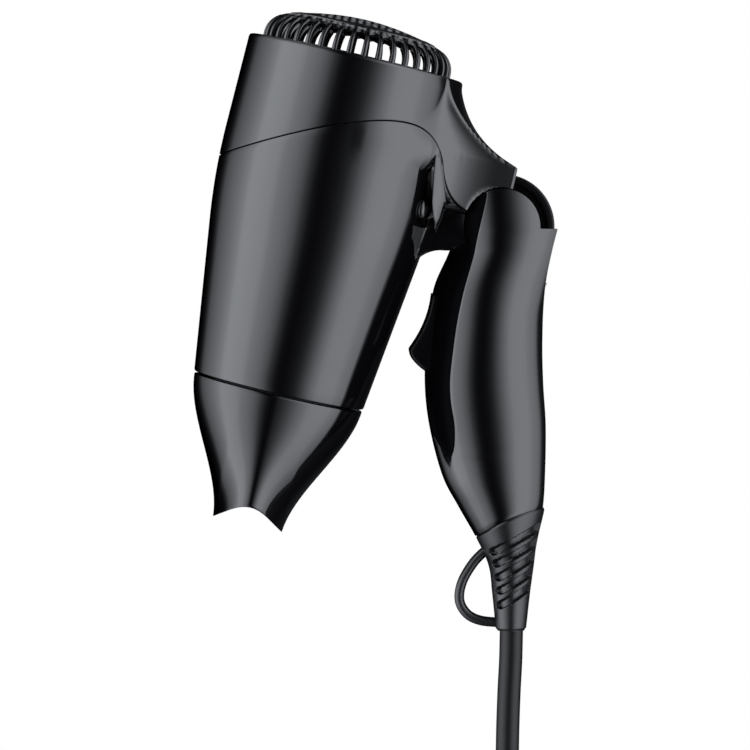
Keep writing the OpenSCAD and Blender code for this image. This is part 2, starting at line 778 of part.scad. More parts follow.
module grip_screw_holes() {
    for (s = grip_screws) translate([s.x, 0, s.y]) {
        cross_pin(screw_r + bore_gap, -grip_half + 4, grip_half + past);
        cross_pin(screw_head_r + seat_gap, grip_half - 5, grip_half + past);
    }
}

// Both halves of the grip as one; side is -1 for the half at -Y and 1 for the half at +Y
module grip_shell(side) {
    difference() {
        union() {
            difference() {
                grip_hull();
                cover_side(seat_gap);
            }
            intersection() {
                grip_bosses(0);
                grip_solid(shell_wall / 2, 1, 8, 0.5);
            }
        }
        grip_screw_holes();
        translate([-60, side < 0 ? -seat_gap / 2 : -2 * grip_w + seat_gap / 2, -160]) cube([120, 2 * grip_w, 200]);
    }
}

module grip_left_shell() {
    color("#26282a") at_hinge() grip_shell(-1);
}

module grip_right_shell() {
    color("#26282a") at_hinge() grip_shell(1);
}

module grip_front_cover() {
    pad_half = knob_w / 2 + 2;
    up = knob_len / 2 + switch_travel + 1.4;
    down = knob_len / 2 + 1;
    color("#0d0e0f") difference() {
        union() {
            at_hinge() intersection() {
                grip_hull();
                cover_side(0);
            }
            at_track() translate([track_floor - 0.6, -pad_half, -down - 1]) cube([track_pad + 0.6, 2 * pad_half,
                up + down + 2]);
        }
        at_track() {
            translate([-12, -knob_w / 2 - run_gap - 0.2, -down]) cube([12 + track_floor, knob_w + 2 * run_gap + 0.4,
                up + down]);
            translate([-past, -stem_half.x - run_gap, -stem_half.y - run_gap])
                cube([12, 2 * stem_half.x + 2 * run_gap, 2 * stem_half.y + 2 * run_gap + switch_travel]);
        }
    }
}

module grip_screws() {
    color("#8c8e90") at_hinge() for (s = grip_screws)
        translate([s.x, grip_half - 5 + screw_head_t + seat_gap, s.y]) screw(14);
}

// ---------------------------------------------------------------- switch

module switch_knob() {
    h = knob_len / 2;
    color("#08090a") at_track() {
        side_slab(knob_w) polygon(concat([[track_floor - run_gap, h]],
            bend([-0.4, h], [-0.4, 0.25 * h], [-knob_rise, -0.48 * h], 8),
            bend([-knob_rise, -0.48 * h], [-knob_rise - 0.1, -0.72 * h], [-0.3, -h], 5),
            [[track_floor - run_gap, -h]]));
        translate([0, -stem_half.x, -stem_half.y]) cube([stem_end, 2 * stem_half.x, 2 * stem_half.y]);
    }
}

module switch_body() {
    front = track_floor + track_pad + 1;
    color("#d9d6cc") at_track() difference() {
        translate([front, -6.5, -11]) cube([11, 13, 24]);
        translate([front - past, -stem_half.x - run_gap, -stem_half.y - run_gap])
            cube([stem_end - front + past + run_gap, 2 * (stem_half.x + run_gap),
                2 * (stem_half.y + run_gap) + switch_travel]);
    }
}

module grip_leads() {
    color("#7a2222") at_hinge() for (y = [-3, 3])
        rod(smooth([[0, y, -drum_r - 2.5], [-1.2, y, -27], [0.5, y, -40], [3.4, y, -55], [4.5, y, -70.4]], 6), 1, 8);
}

// ---------------------------------------------------------------- cord entry

module cord_clamp() {
    color("#3c3e40") at_hinge() translate([exit_x, 0, -grip_len + 13.4]) difference() {
        translate([-5.5, -6, 0]) cube([11, 12, 4]);
        translate([0, 0, -past]) cylinder(r = cord_d / 2 + 0.2, h = 6);
    }
}

// Hanging loop of the strain relief, in the hinge frame
loop_route = [[-4, 0, -grip_len - 3.4], [-8, 0, -grip_len - 7.4], [-11.4, 0, -grip_len - 13.2],
    [-12.2, 0, -grip_len - 18.6], [-10, 0, -grip_len - 22.6], [-6, 0, -grip_len - 24.6],
    [-0.2, 0, -grip_len - 25.2]];

module strain_relief() {
    neck_r = cord_d / 2;
    color("#131415") at_hinge() {
        intersection() {
            grip_solid(0, 6.5, 11, 0.5);
            below_seam(seam_gap);
        }
        rod(smooth(loop_route, 4), loop_d / 2, 10);
        // Jacket of the cord inside the grip, up to its clamp
        translate([exit_x, 0, -grip_len + 4]) cylinder(r = neck_r, h = 16);
    }
}

// ---------------------------------------------------------------- cord and plug

module cord_run() {
    color("#101112") at_hinge() rod(smooth(cord_route, 2), cord_d / 2, 12);
}

// Outline of a hank with round ends, in the plane of its folds
module hank_outline(r) {
    circle(r);
    translate([0, -hank_run]) circle(r);
    translate([-r, -hank_run]) square([2 * r, hank_run]);
}

// The space that the turns fill: a ring one cord thick, open in the middle
module cord_hank() {
    color("#121314") at_hinge() translate([hank_x, tail_y / 2, hank_z]) side_slab(tail_y + cord_d) difference() {
        hank_outline(fold_r + cord_d / 2);
        hank_outline(fold_r - cord_d / 2);
    }
}

module cord_tie() {
    r = fold_r + cord_d / 2 + seat_gap;
    depth = tail_y + cord_d + 2 * seat_gap;
    t = 1.4;
    color("#1a1b1c") at_hinge() translate([hank_x, tail_y / 2, hank_z - hank_run / 2]) difference() {
        cube([2 * (r + t), depth + 2 * t, 14], center = true);
        cube([2 * r, depth, 16], center = true);
    }
}

module cord_tail() {
    color("#101112") at_hinge() rod(smooth(tail_route, 3), cord_d / 2, 12);
}

module plug_body() {
    color("#141516") at_hinge() translate([tail_route[0].x, tail_y, plug_z]) difference() {
        union() {
            translate([0, 0, -plug_relief]) cylinder(r1 = cord_d / 2 + 2.5, r2 = cord_d / 2 + 0.6, h = plug_relief);
            translate([0, 0, -plug_relief - plug_len / 2]) intersection() {
                cube([plug_w, plug_t, plug_len], center = true);
                rotate([90, 0, 0]) cylinder(r = 0.62 * plug_len, h = plug_t, center = true);
            }
        }
        for (s = [-1, 1]) translate([s * pin_pitch / 2, 0, -plug_relief - plug_len - past])
            cylinder(r = pin_root_r + bore_gap, h = pin_root_len + past);
    }
}

module plug_pins() {
    color("#c9c3a6") at_hinge() for (s = [-1, 1])
        translate([tail_route[0].x + s * pin_pitch / 2, tail_y, plug_z - plug_relief - plug_len]) {
            translate([0, 0, -plug_pin_len]) cylinder(d = plug_pin_d, h = plug_pin_len);
            translate([0, 0, -past]) cylinder(r = pin_root_r, h = pin_root_len);
        }
}

rear_housing();
front_shell();
intake_grille();
fan_duct();
motor();
motor_shaft();
fan_impeller();
rectifier_board();
heater_boards();
heater_coil();
heat_shield();
thermostat();
thermal_fuse();
outlet_collar();
outlet_guard();
barrel_leads();
nozzle_clip_ring();
concentrator_nozzle();
hinge_drum();
hinge_pin();
detent_spring();
detent_ball();
housing_screws();
screw_caps();
grip_left_shell();
grip_right_shell();
grip_front_cover();
grip_screws();
switch_knob();
switch_body();
grip_leads();
cord_clamp();
strain_relief();
cord_run();
cord_hank();
cord_tie();
cord_tail();
plug_body();
plug_pins();
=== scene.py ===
"""Looks of a folding travel hair dryer, folded up and hanging from its grip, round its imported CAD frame.

Every piece is built in millimetres in one of three local frames, the hinge's, the barrel's or the switch
track's, and is then moved into the row frame in metres, so each finished object sits at the origin.
"""

import sys

import json
import logging
import math
from bisect import bisect_right
from dataclasses import dataclass, field
from enum import Enum
from typing import Callable, Sequence, TypeVar

import bmesh
import bpy
from mathutils import Matrix, Vector

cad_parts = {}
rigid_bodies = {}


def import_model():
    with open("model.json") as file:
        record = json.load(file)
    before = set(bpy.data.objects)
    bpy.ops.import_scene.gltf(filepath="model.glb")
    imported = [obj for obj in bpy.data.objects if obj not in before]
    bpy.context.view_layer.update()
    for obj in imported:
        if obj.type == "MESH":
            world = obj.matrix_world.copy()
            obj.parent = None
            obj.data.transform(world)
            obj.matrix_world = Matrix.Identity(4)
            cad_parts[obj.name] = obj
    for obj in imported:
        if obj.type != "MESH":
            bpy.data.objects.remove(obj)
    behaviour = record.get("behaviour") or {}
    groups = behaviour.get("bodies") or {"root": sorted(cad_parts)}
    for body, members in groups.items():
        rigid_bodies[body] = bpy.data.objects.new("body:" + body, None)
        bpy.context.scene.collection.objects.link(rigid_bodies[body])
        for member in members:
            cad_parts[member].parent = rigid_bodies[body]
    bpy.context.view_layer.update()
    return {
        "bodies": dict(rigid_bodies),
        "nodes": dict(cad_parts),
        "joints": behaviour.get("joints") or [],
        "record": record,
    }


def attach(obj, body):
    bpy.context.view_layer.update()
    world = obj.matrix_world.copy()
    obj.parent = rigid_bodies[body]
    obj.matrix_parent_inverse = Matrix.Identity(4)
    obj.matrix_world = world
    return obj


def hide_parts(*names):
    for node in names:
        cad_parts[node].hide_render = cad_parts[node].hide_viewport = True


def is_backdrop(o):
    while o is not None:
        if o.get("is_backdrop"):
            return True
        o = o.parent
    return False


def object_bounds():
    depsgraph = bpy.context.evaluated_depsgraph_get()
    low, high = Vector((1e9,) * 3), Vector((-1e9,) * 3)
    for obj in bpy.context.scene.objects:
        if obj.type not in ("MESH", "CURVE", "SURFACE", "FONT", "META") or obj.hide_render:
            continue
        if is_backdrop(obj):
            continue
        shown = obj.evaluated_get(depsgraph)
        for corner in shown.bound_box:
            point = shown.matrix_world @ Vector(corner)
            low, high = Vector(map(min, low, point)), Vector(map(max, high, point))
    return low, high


LOG = logging.getLogger("hair_dryer")
MM = 0.001

Point = tuple[float, float]
Place = Callable[[float, float], Vector]
Shape = bmesh.types.BMesh
Item = TypeVar("Item")


# ---------------------------------------------------------------- curves


def bend(a: Point, b: Point, c: Point, count: int) -> list[Point]:
    """Points of a quadratic curve.

    Args:
        a: Its start.
        b: The point that it is pulled towards.
        c: Its end.
        count: The number of steps.

    Returns:
        count + 1 points.
    """
    points = []
    for i in range(count + 1):
        t = i / count
        wa, wb, wc = (1 - t) ** 2, 2 * t * (1 - t), t * t
        points.append((wa * a[0] + wb * b[0] + wc * c[0], wa * a[1] + wb * b[1] + wc * c[1]))
    return points


def through(values: Sequence[Vector], place: float) -> Vector:
    """A smooth curve through values.

    Args:
        values: The vectors that it passes through.
        place: The place along it, which counts the gaps between values.

    Returns:
        The curve's vector there.
    """
    i = min(max(int(place), 0), len(values) - 2)
    f = place - i
    a, b, c, d = (values[min(max(k, 0), len(values) - 1)] for k in (i - 1, i, i + 1, i + 2))
    return 0.5 * (2 * b + (c - a) * f + (2 * a - 5 * b + 4 * c - d) * f**2 + (3 * b - a - 3 * c + d) * f**3)


def smooth(values: Sequence[Vector], steps: int) -> list[Vector]:
    """Points all along the smooth curve through values, with some steps in each gap."""
    return [through(values, i / steps) for i in range(steps * (len(values) - 1) + 1)]


class Profile:
    """A value looked up between the points of a line that never turns back."""

    def __init__(self, points: Sequence[Point]) -> None:
        """Keeps the points (place, value), sorted by place."""
        rising = sorted(points)
        self.places = [p for p, _ in rising]
        self.values = [v for _, v in rising]

    def __call__(self, place: float) -> float:
        """The value at a place, held at the ends."""
        i = min(max(bisect_right(self.places, place), 1), len(self.places) - 1)
        low, high = self.places[i - 1], self.places[i]
        share = min(max((place - low) / max(high - low, 1e-9), 0.0), 1.0)
        return self.values[i - 1] + share * (self.values[i] - self.values[i - 1])


def lerp(a: float, b: float, share: float) -> float:
    """The value a share of the way from a to b."""
    return a + (b - a) * share


def ease(share: float) -> float:
    """A share from 0 to 1 that starts and ends softly."""
    share = min(max(share, 0.0), 1.0)
    return share * share * (3 - 2 * share)


def smooth_min(a: float, b: float, reach: float) -> float:
    """The smaller of two values, rounded off where they cross."""
    return min(a, b) - max(reach - abs(a - b), 0.0) ** 2 / (4 * reach)


def smooth_max(a: float, b: float, reach: float) -> float:
    """The larger of two values, rounded off where they cross."""
    return max(a, b) + max(reach - abs(a - b), 0.0) ** 2 / (4 * reach)


def power(value: float, exponent: float) -> float:
    """A signed power."""
    return math.copysign(abs(value) ** exponent, value)


def border(low: float, high: float, before: Callable[[float], bool]) -> float:
    """The place between two others up to which something is true, found by halving.

    Args:
        low: A place where it is true.
        high: A place where it isn't.
        before: Whether it is true at a place.

    Returns:
        The place.
    """
    for _ in range(30):
        middle = (low + high) / 2
        low, high = (middle, high) if before(middle) else (low, middle)
    return low


def pick(items: Sequence[Item], share: float) -> Item:
    """The item a share of the way through a list."""
    return items[round(share * (len(items) - 1))]


def polar(r: float, angle: float, z: float = 0.0) -> Vector:
    """The point at a radius and an angle about the Z axis, and a height."""
    return Vector((r * math.cos(angle), r * math.sin(angle), z))


# ---------------------------------------------------------------- frames

HINGE_AT = Vector((5.0, 0.0, 48.0))
BARREL_LEAN = math.radians(13.2)
TRACK_LEAN = math.radians(5.4)

HINGE = Matrix.Scale(MM, 4) @ Matrix.Translation(HINGE_AT)
BARREL = HINGE @ Matrix.Rotation(BARREL_LEAN, 4, "Y") @ Matrix.Translation((-52.7, 0.0, 38.3))
TRACK = HINGE @ Matrix.Translation((-21.3, 0.0, -31.0)) @ Matrix.Rotation(TRACK_LEAN, 4, "Y")


# ---------------------------------------------------------------- finishes


def linear(code: str) -> tuple[float, float, float, float]:
    """An sRGB hex colour such as "1a2b3c" as linear RGBA."""
    parts = [int(code[i : i + 2], 16) / 255 for i in (0, 2, 4)]
    r, g, b = (c / 12.92 if c <= 0.04045 else ((c + 0.055) / 1.055) ** 2.4 for c in parts)
    return (r, g, b, 1.0)


def add_node(
    tree: bpy.types.NodeTree, kind: str, settings: dict | None = None, links: dict | None = None
) -> bpy.types.Node:
    """Adds a node.

    Args:
        tree: The node tree.
        kind: The node's type name.
        settings: Attribute names, or names or numbers of input sockets, with their values.
        links: Names or numbers of input sockets, with the output sockets that feed them.

    Returns:
        The new node.
    """
    node = tree.nodes.new(kind)
    for key, value in (settings or {}).items():
        if isinstance(key, int) or key in node.inputs:
            node.inputs[key].default_value = value
        else:
            setattr(node, key, value)
    for key, source in (links or {}).items():
        tree.links.new(source, node.inputs[key])
    return node


def fresh_tree(owner: bpy.types.Material | bpy.types.World) -> bpy.types.NodeTree:
    """The emptied node tree of a material or a world."""
    owner.use_nodes = True
    owner.node_tree.nodes.clear()
    return owner.node_tree


@dataclass(frozen=True)
class Finish:
    """One real finish: how its surface shines, and the grain that its making left on it."""

    name: str
    colour: str
    roughness: float
    ior: float = 1.5
    metallic: float = 0.0
    # Size of the grain, how deep it is, and how much it varies the roughness
    grain_mm: float = 0.5
    depth_mm: float = 0.01
    mottle: float = 0.1

    def material(self) -> bpy.types.Material:
        """The finish's material, made once."""
        made = bpy.data.materials.get(self.name)
        if made:
            return made
        made = bpy.data.materials.new(self.name)
        tree = fresh_tree(made)
        place = add_node(tree, "ShaderNodeTexCoord").outputs["Object"]
        grain = add_node(
            tree, "ShaderNodeTexNoise", {"Scale": 1 / (self.grain_mm * MM), "Detail": 2.0}, {"Vector": place}
        ).outputs["Fac"]
        low, high = (self.roughness * (1 + way * self.mottle) for way in (-1, 1))
        rough = add_node(tree, "ShaderNodeMapRange", {"To Min": low, "To Max": high}, {"Value": grain})
        bump = add_node(
            tree, "ShaderNodeBump", {"Strength": 0.5, "Distance": self.depth_mm * MM}, {"Height": grain}
        )
        shader = add_node(
            tree,
            "ShaderNodeBsdfPrincipled",
            {"Base Color": linear(self.colour), "Metallic": self.metallic, "IOR": self.ior},
            {"Roughness": rough.outputs[0], "Normal": bump.outputs[0]},
        )
        add_node(tree, "ShaderNodeOutputMaterial", None, {"Surface": shader.outputs[0]})
        return made


# Moulded ABS and PBT, polished mould: black with clear, slightly softened reflections
HOUSING_ABS = Finish("moulded gloss ABS, housing", "050506", 0.09, 1.52, grain_mm=3.0, depth_mm=0.002)
GRIP_ABS = Finish("moulded gloss ABS, grip", "050506", 0.11, grain_mm=3.0, depth_mm=0.002)
NOZZLE_ABS = Finish("moulded gloss PBT, nozzle", "040405", 0.1, grain_mm=3.0, depth_mm=0.002)
GRILLE_ABS = Finish("moulded gloss ABS, grille", "040405", 0.2)
# Spark-eroded mould: the same black with hardly any shine
COVER_ABS = Finish("moulded satin ABS, front cover", "030304", 0.3, 1.05, depth_mm=0.006)
KNOB_ABS = Finish("moulded satin ABS, thumb slide", "030304", 0.28, 1.2, depth_mm=0.006)
# Acetal, which is slightly waxy
DRUM_POM = Finish("turned and moulded acetal, hinge drum", "040405", 0.24, 1.25, grain_mm=0.4, depth_mm=0.008)
INNER_PBT = Finish(
    "moulded glass-filled PBT, inner parts", "1b1c1f", 0.6, grain_mm=0.4, depth_mm=0.02, mottle=0.2
)
SWITCH_NYLON = Finish("moulded nylon, switch case", "d9d6cc", 0.5)
ZINC_STEEL = Finish("zinc-plated steel", "c4c6c9", 0.3, 1.5, 1.0, grain_mm=0.8, depth_mm=0.004, mottle=0.3)
MICA_SHEET = Finish("pressed mica sheet", "bfa878", 0.5, 1.55, grain_mm=2.5, depth_mm=0.03, mottle=0.4)
NICHROME = Finish("oxidised nichrome wire", "6f6358", 0.5, 1.5, 1.0, grain_mm=0.4, mottle=0.3)
FUSE_CASE = Finish("drawn aluminium, fuse case", "d8d9da", 0.35, 1.5, 1.0, grain_mm=0.3, depth_mm=0.003)
BOARD_EPOXY = Finish("glass epoxy board, green mask", "24573a", 0.35)
LEAD_PVC = Finish("soft PVC, red leads", "7a2222", 0.4)
# Soft PVC: satin black with a broad weak sheen
RELIEF_PVC = Finish("soft PVC, strain relief", "08080a", 0.34, 1.45, grain_mm=0.6, depth_mm=0.012)
CORD_PVC = Finish("soft PVC, cord", "040405", 0.42, 1.3, grain_mm=0.7, depth_mm=0.02)
PLUG_PVC = Finish("moulded PVC, plug", "0a0a0c", 0.42, 1.45, depth_mm=0.015)
PIN_NICKEL = Finish("nickel-plated brass, pins", "cfcabb", 0.22, 1.5, 1.0, grain_mm=0.6, depth_mm=0.003)


class Slot(Enum):
    """The names of the record's material slots, handed to publish for new pieces."""

    HOUSING = "housing_abs"
    GRIP = "grip_abs"
    COVER = "cover_abs"
    GRILLE = "grille_abs"
    NOZZLE = "nozzle_abs"
    DRUM = "hinge_pom"
    RELIEF = "relief_pvc"
    CORD = "cord_pvc"
    PLUG = "plug_pvc"


class Body(Enum):
    """The bodies that move together."""

    GRIP = "grip"
    BARREL = "barrel"
    NOZZLE = "nozzle"
    SWITCH = "switch_slide"


# ---------------------------------------------------------------- meshes


def surface(columns: int, rows: int, place: Place) -> Shape:
    """A grid whose vertices are moved onto a surface.

    Args:
        columns: Steps of the first share.
        rows: Steps of the second share.
        place: The point at two shares from 0 to 1.

    Returns:
        The grid, with doubles merged, so a surface that comes back to its start is closed.
    """
    bm = bmesh.new()
    bmesh.ops.create_grid(bm, x_segments=columns, y_segments=rows, size=0.5)
    for vert in bm.verts:
        vert.co = place(vert.co.x + 0.5, vert.co.y + 0.5)
    bmesh.ops.remove_doubles(bm, verts=bm.verts, dist=1e-4)
    return bm


def tube(path: Sequence[Vector], radius: float, sides: int) -> Shape:
    """A round rod along a path that lies in a plane of constant Y.

    Args:
        path: Points along its middle.
        radius: Its radius.
        sides: Faces round it.

    Returns:
        The rod, with closed ends.
    """
    last = len(path) - 1
    sideways = Vector((0, 1, 0))

    def place(u: float, v: float) -> Vector:
        i = round(v * (last + 2)) - 1
        k = min(max(i, 0), last)
        along = (path[min(k + 1, last)] - path[max(k - 1, 0)]).normalized()
        across = along.cross(sideways).normalized()
        size = radius if i == k else 0.0
        a = math.tau * u
        return path[k] + size * (math.cos(a) * across + math.sin(a) * sideways)

    return surface(sides, last + 2, place)


def lathe(outline: Sequence[Point], sides: int, axis: str) -> Shape:
    """A turned solid.

    Args:
        outline: Its half outline, as radius and place along the axis, from one end on the axis to the other.
        sides: Faces round it.
        axis: "Y" or "Z".

    Returns:
        The solid.
    """
    bm = bmesh.new()
    verts = [bm.verts.new((r, 0, z)) for r, z in outline]
    edges = [bm.edges.new(pair) for pair in zip(verts, verts[1:])]
    bmesh.ops.spin(
        bm, geom=verts + edges, axis=(0, 0, 1), cent=(0, 0, 0), angle=math.tau, steps=sides, use_merge=True
    )
    bmesh.ops.remove_doubles(bm, verts=bm.verts, dist=1e-4)
    if axis == "Y":
        bmesh.ops.rotate(bm, verts=bm.verts, cent=(0, 0, 0), matrix=Matrix.Rotation(-math.pi / 2, 3, "X"))
    return bm


def join(target: Shape, other: Shape) -> None:
    """Adds another bmesh to a first and frees it."""
    spare = bpy.data.meshes.new("spare")
    other.to_mesh(spare)
    other.free()
    target.from_mesh(spare)
    bpy.data.meshes.remove(spare)


def new_object(name: str, data: bpy.types.ID) -> bpy.types.Object:
    """Adds an object to the scene, at the origin."""
    made = bpy.data.objects.new(name, data)
    bpy.context.scene.collection.objects.link(made)
    return made


def round_edges(bm: Shape, edges: Sequence[bmesh.types.BMEdge], radius: float) -> None:
    """Rounds edges off in four steps."""
    bmesh.ops.bevel(
        bm, geom=edges, offset=radius, affect="EDGES", segments=4, profile=0.5, material=-1,
        clamp_overlap=True,
    )


def turn_about_z(bm: Shape, angle: float) -> None:
    """Turns a whole shape about the Z axis."""
    bmesh.ops.rotate(bm, verts=bm.verts, cent=(0, 0, 0), matrix=Matrix.Rotation(angle, 3, "Z"))


def publish(
    bm: Shape,
    name: str,
    frame: Matrix,
    body: Body,
    finish: Finish,
    slot: Slot,
    nodes: Sequence[str],
    crisp: float = 35.0,
) -> bpy.types.Object:
    """Turns a bmesh into a finished piece.

    Args:
        bm: The shape, in millimetres in a local frame. It is freed.
        name: The piece's name.
        frame: The local frame.
        body: The body that it rides on.
        finish: Its finish.
        slot: Its slot in the record; not used.
        nodes: The CAD nodes that it stands for.
        crisp: The angle in degrees past which an edge stays sharp.

    Returns:
        The object, at the origin.
    """
    bmesh.ops.transform(bm, matrix=frame, verts=bm.verts)
    bmesh.ops.recalc_face_normals(bm, faces=bm.faces)
    for face in bm.faces:
        face.smooth = True
    for edge in bm.edges:
        edge.smooth = not (len(edge.link_faces) == 2 and edge.calc_face_angle(0.0) > math.radians(crisp))
    mesh = bpy.data.meshes.new(name)
    bm.to_mesh(mesh)
    bm.free()
    piece = new_object(name, mesh)
    mesh.materials.append(finish.material())
    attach(piece, body.value)
    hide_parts(*nodes)
    LOG.info("%s: %d faces", name, len(mesh.polygons))
    return piece


# ---------------------------------------------------------------- studio


@dataclass
class Studio:
    """Camera, surroundings and the floor."""

    target: Vector = field(default_factory=lambda: Vector((-0.0321, 0.0, 0.0043)))
    distance: float = 1.225
    elevation: float = 2.5
    lens: float = 200.0
    # Brightness of the soft lights by angle, in degrees to the right of the front
    glow: tuple[Point, ...] = (
        (-180, 0.0), (-150, 0.0), (-139, 0.03), (-127, 0.5), (-106, 1.8), (-89, 3.6), (-75, 5.0), (-61, 4.9),
        (-49, 3.8), (-37, 2.9), (-25, 1.5), (-16, 0.35), (-8, 0.03), (4, 0.05), (14, 0.22), (22, 0.7),
        (31, 1.8), (43, 3.5), (55, 4.5), (68, 4.4), (82, 3.4), (97, 2.3), (106, 1.2), (114, 0.1), (130, 0.03),
        (180, 0.05),
    )
    peak: float = 5.0
    dome_r: float = 9.0
    floor_r: float = 1.2
    floor_z: float = -0.36

    def camera(self) -> None:
        """Makes the scene's camera."""
        data = bpy.data.cameras.new("camera")
        data.lens = self.lens
        data.sensor_width = 36.0
        data.clip_start, data.clip_end = 0.05, 60.0
        camera = new_object("camera", data)
        up = math.radians(self.elevation)
        back = Vector((0, -math.cos(up), math.sin(up)))
        camera.location = self.target + self.distance * back
        camera.rotation_mode = "QUATERNION"
        camera.rotation_quaternion = (-back).to_track_quat("-Z", "Y")
        bpy.context.scene.camera = camera

    def surroundings(self) -> None:
        """Makes the soft light that comes from two wide sources, left and right of the front."""
        world = bpy.data.worlds.new("soft studio light")
        bpy.context.scene.world = world
        tree = fresh_tree(world)
        place = add_node(tree, "ShaderNodeTexCoord")
        parts = add_node(tree, "ShaderNodeSeparateXYZ", None, {0: place.outputs["Generated"]})
        front = add_node(tree, "ShaderNodeMath", {"operation": "MULTIPLY", 1: -1.0}, {0: parts.outputs["Y"]})
        angle = add_node(
            tree, "ShaderNodeMath", {"operation": "ARCTAN2"}, {0: parts.outputs["X"], 1: front.outputs[0]}
        )
        share = add_node(
            tree,
            "ShaderNodeMapRange",
            {"From Min": -math.pi, "From Max": math.pi},
            {"Value": angle.outputs[0]},
        )
        ramp = add_node(tree, "ShaderNodeFloatCurve", None, {"Value": share.outputs[0]})
        curve = ramp.mapping.curves[0]
        for i, (degrees, value) in enumerate(self.glow):
            x, y = (degrees + 180) / 360, value / self.peak
            point = curve.points[i] if i < 2 else curve.points.new(x, y)
            point.location = (x, y)
        ramp.mapping.update()
        # The lights end a little above and below the object
        height = add_node(
            tree,
            "ShaderNodeMapRange",
            {
                "interpolation_type": "SMOOTHSTEP",
                "From Min": 0.35,
                "From Max": 0.95,
                "To Min": 1.0,
                "To Max": 0.12,
            },
        )
        level = add_node(tree, "ShaderNodeMath", {"operation": "ABSOLUTE"}, {0: parts.outputs["Z"]})
        tree.links.new(level.outputs[0], height.inputs["Value"])
        glow = add_node(
            tree, "ShaderNodeMath", {"operation": "MULTIPLY"}, {0: ramp.outputs[0], 1: height.outputs[0]}
        )
        strength = add_node(
            tree, "ShaderNodeMath", {"operation": "MULTIPLY", 1: self.peak}, {0: glow.outputs[0]}
        )
        light = add_node(
            tree, "ShaderNodeBackground", {"Color": linear("f4f8ff")}, {"Strength": strength.outputs[0]}
        )
        add_node(tree, "ShaderNodeOutputWorld", None, {"Surface": light.outputs[0]})

    def backdrop(self) -> None:
        """Makes the pale floor and the pale dome, which only the camera sees."""
        white = bpy.data.materials.new("pale paper")
        tree = fresh_tree(white)
        paper = add_node(tree, "ShaderNodeEmission", {"Color": linear("ffffff"), "Strength": 1.0})
        add_node(tree, "ShaderNodeOutputMaterial", None, {"Surface": paper.outputs[0]})
        dome = bmesh.new()
        bmesh.ops.create_icosphere(dome, subdivisions=4, radius=self.dome_r)
        bmesh.ops.reverse_faces(dome, faces=dome.faces)
        floor = bmesh.new()
        bmesh.ops.create_circle(floor, cap_ends=True, segments=96, radius=self.floor_r)
        bmesh.ops.translate(floor, verts=floor.verts, vec=(0, 0, self.floor_z))
        for name, bm in (("pale dome", dome), ("pale floor", floor)):
            mesh = bpy.data.meshes.new(name)
            bm.to_mesh(mesh)
            bm.free()
            mesh.materials.append(white)
            piece = new_object(name, mesh)
            # Lights and reflections pass through it
            piece.visible_glossy = piece.visible_diffuse = False
            piece.visible_shadow = piece.visible_transmission = False
            piece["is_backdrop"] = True

    def build(self) -> None:
        """Sets up the whole studio."""
        self.camera()
        self.surroundings()
        self.backdrop()
        bpy.context.scene.view_settings.view_transform = "Standard"


# ---------------------------------------------------------------- cord and plug


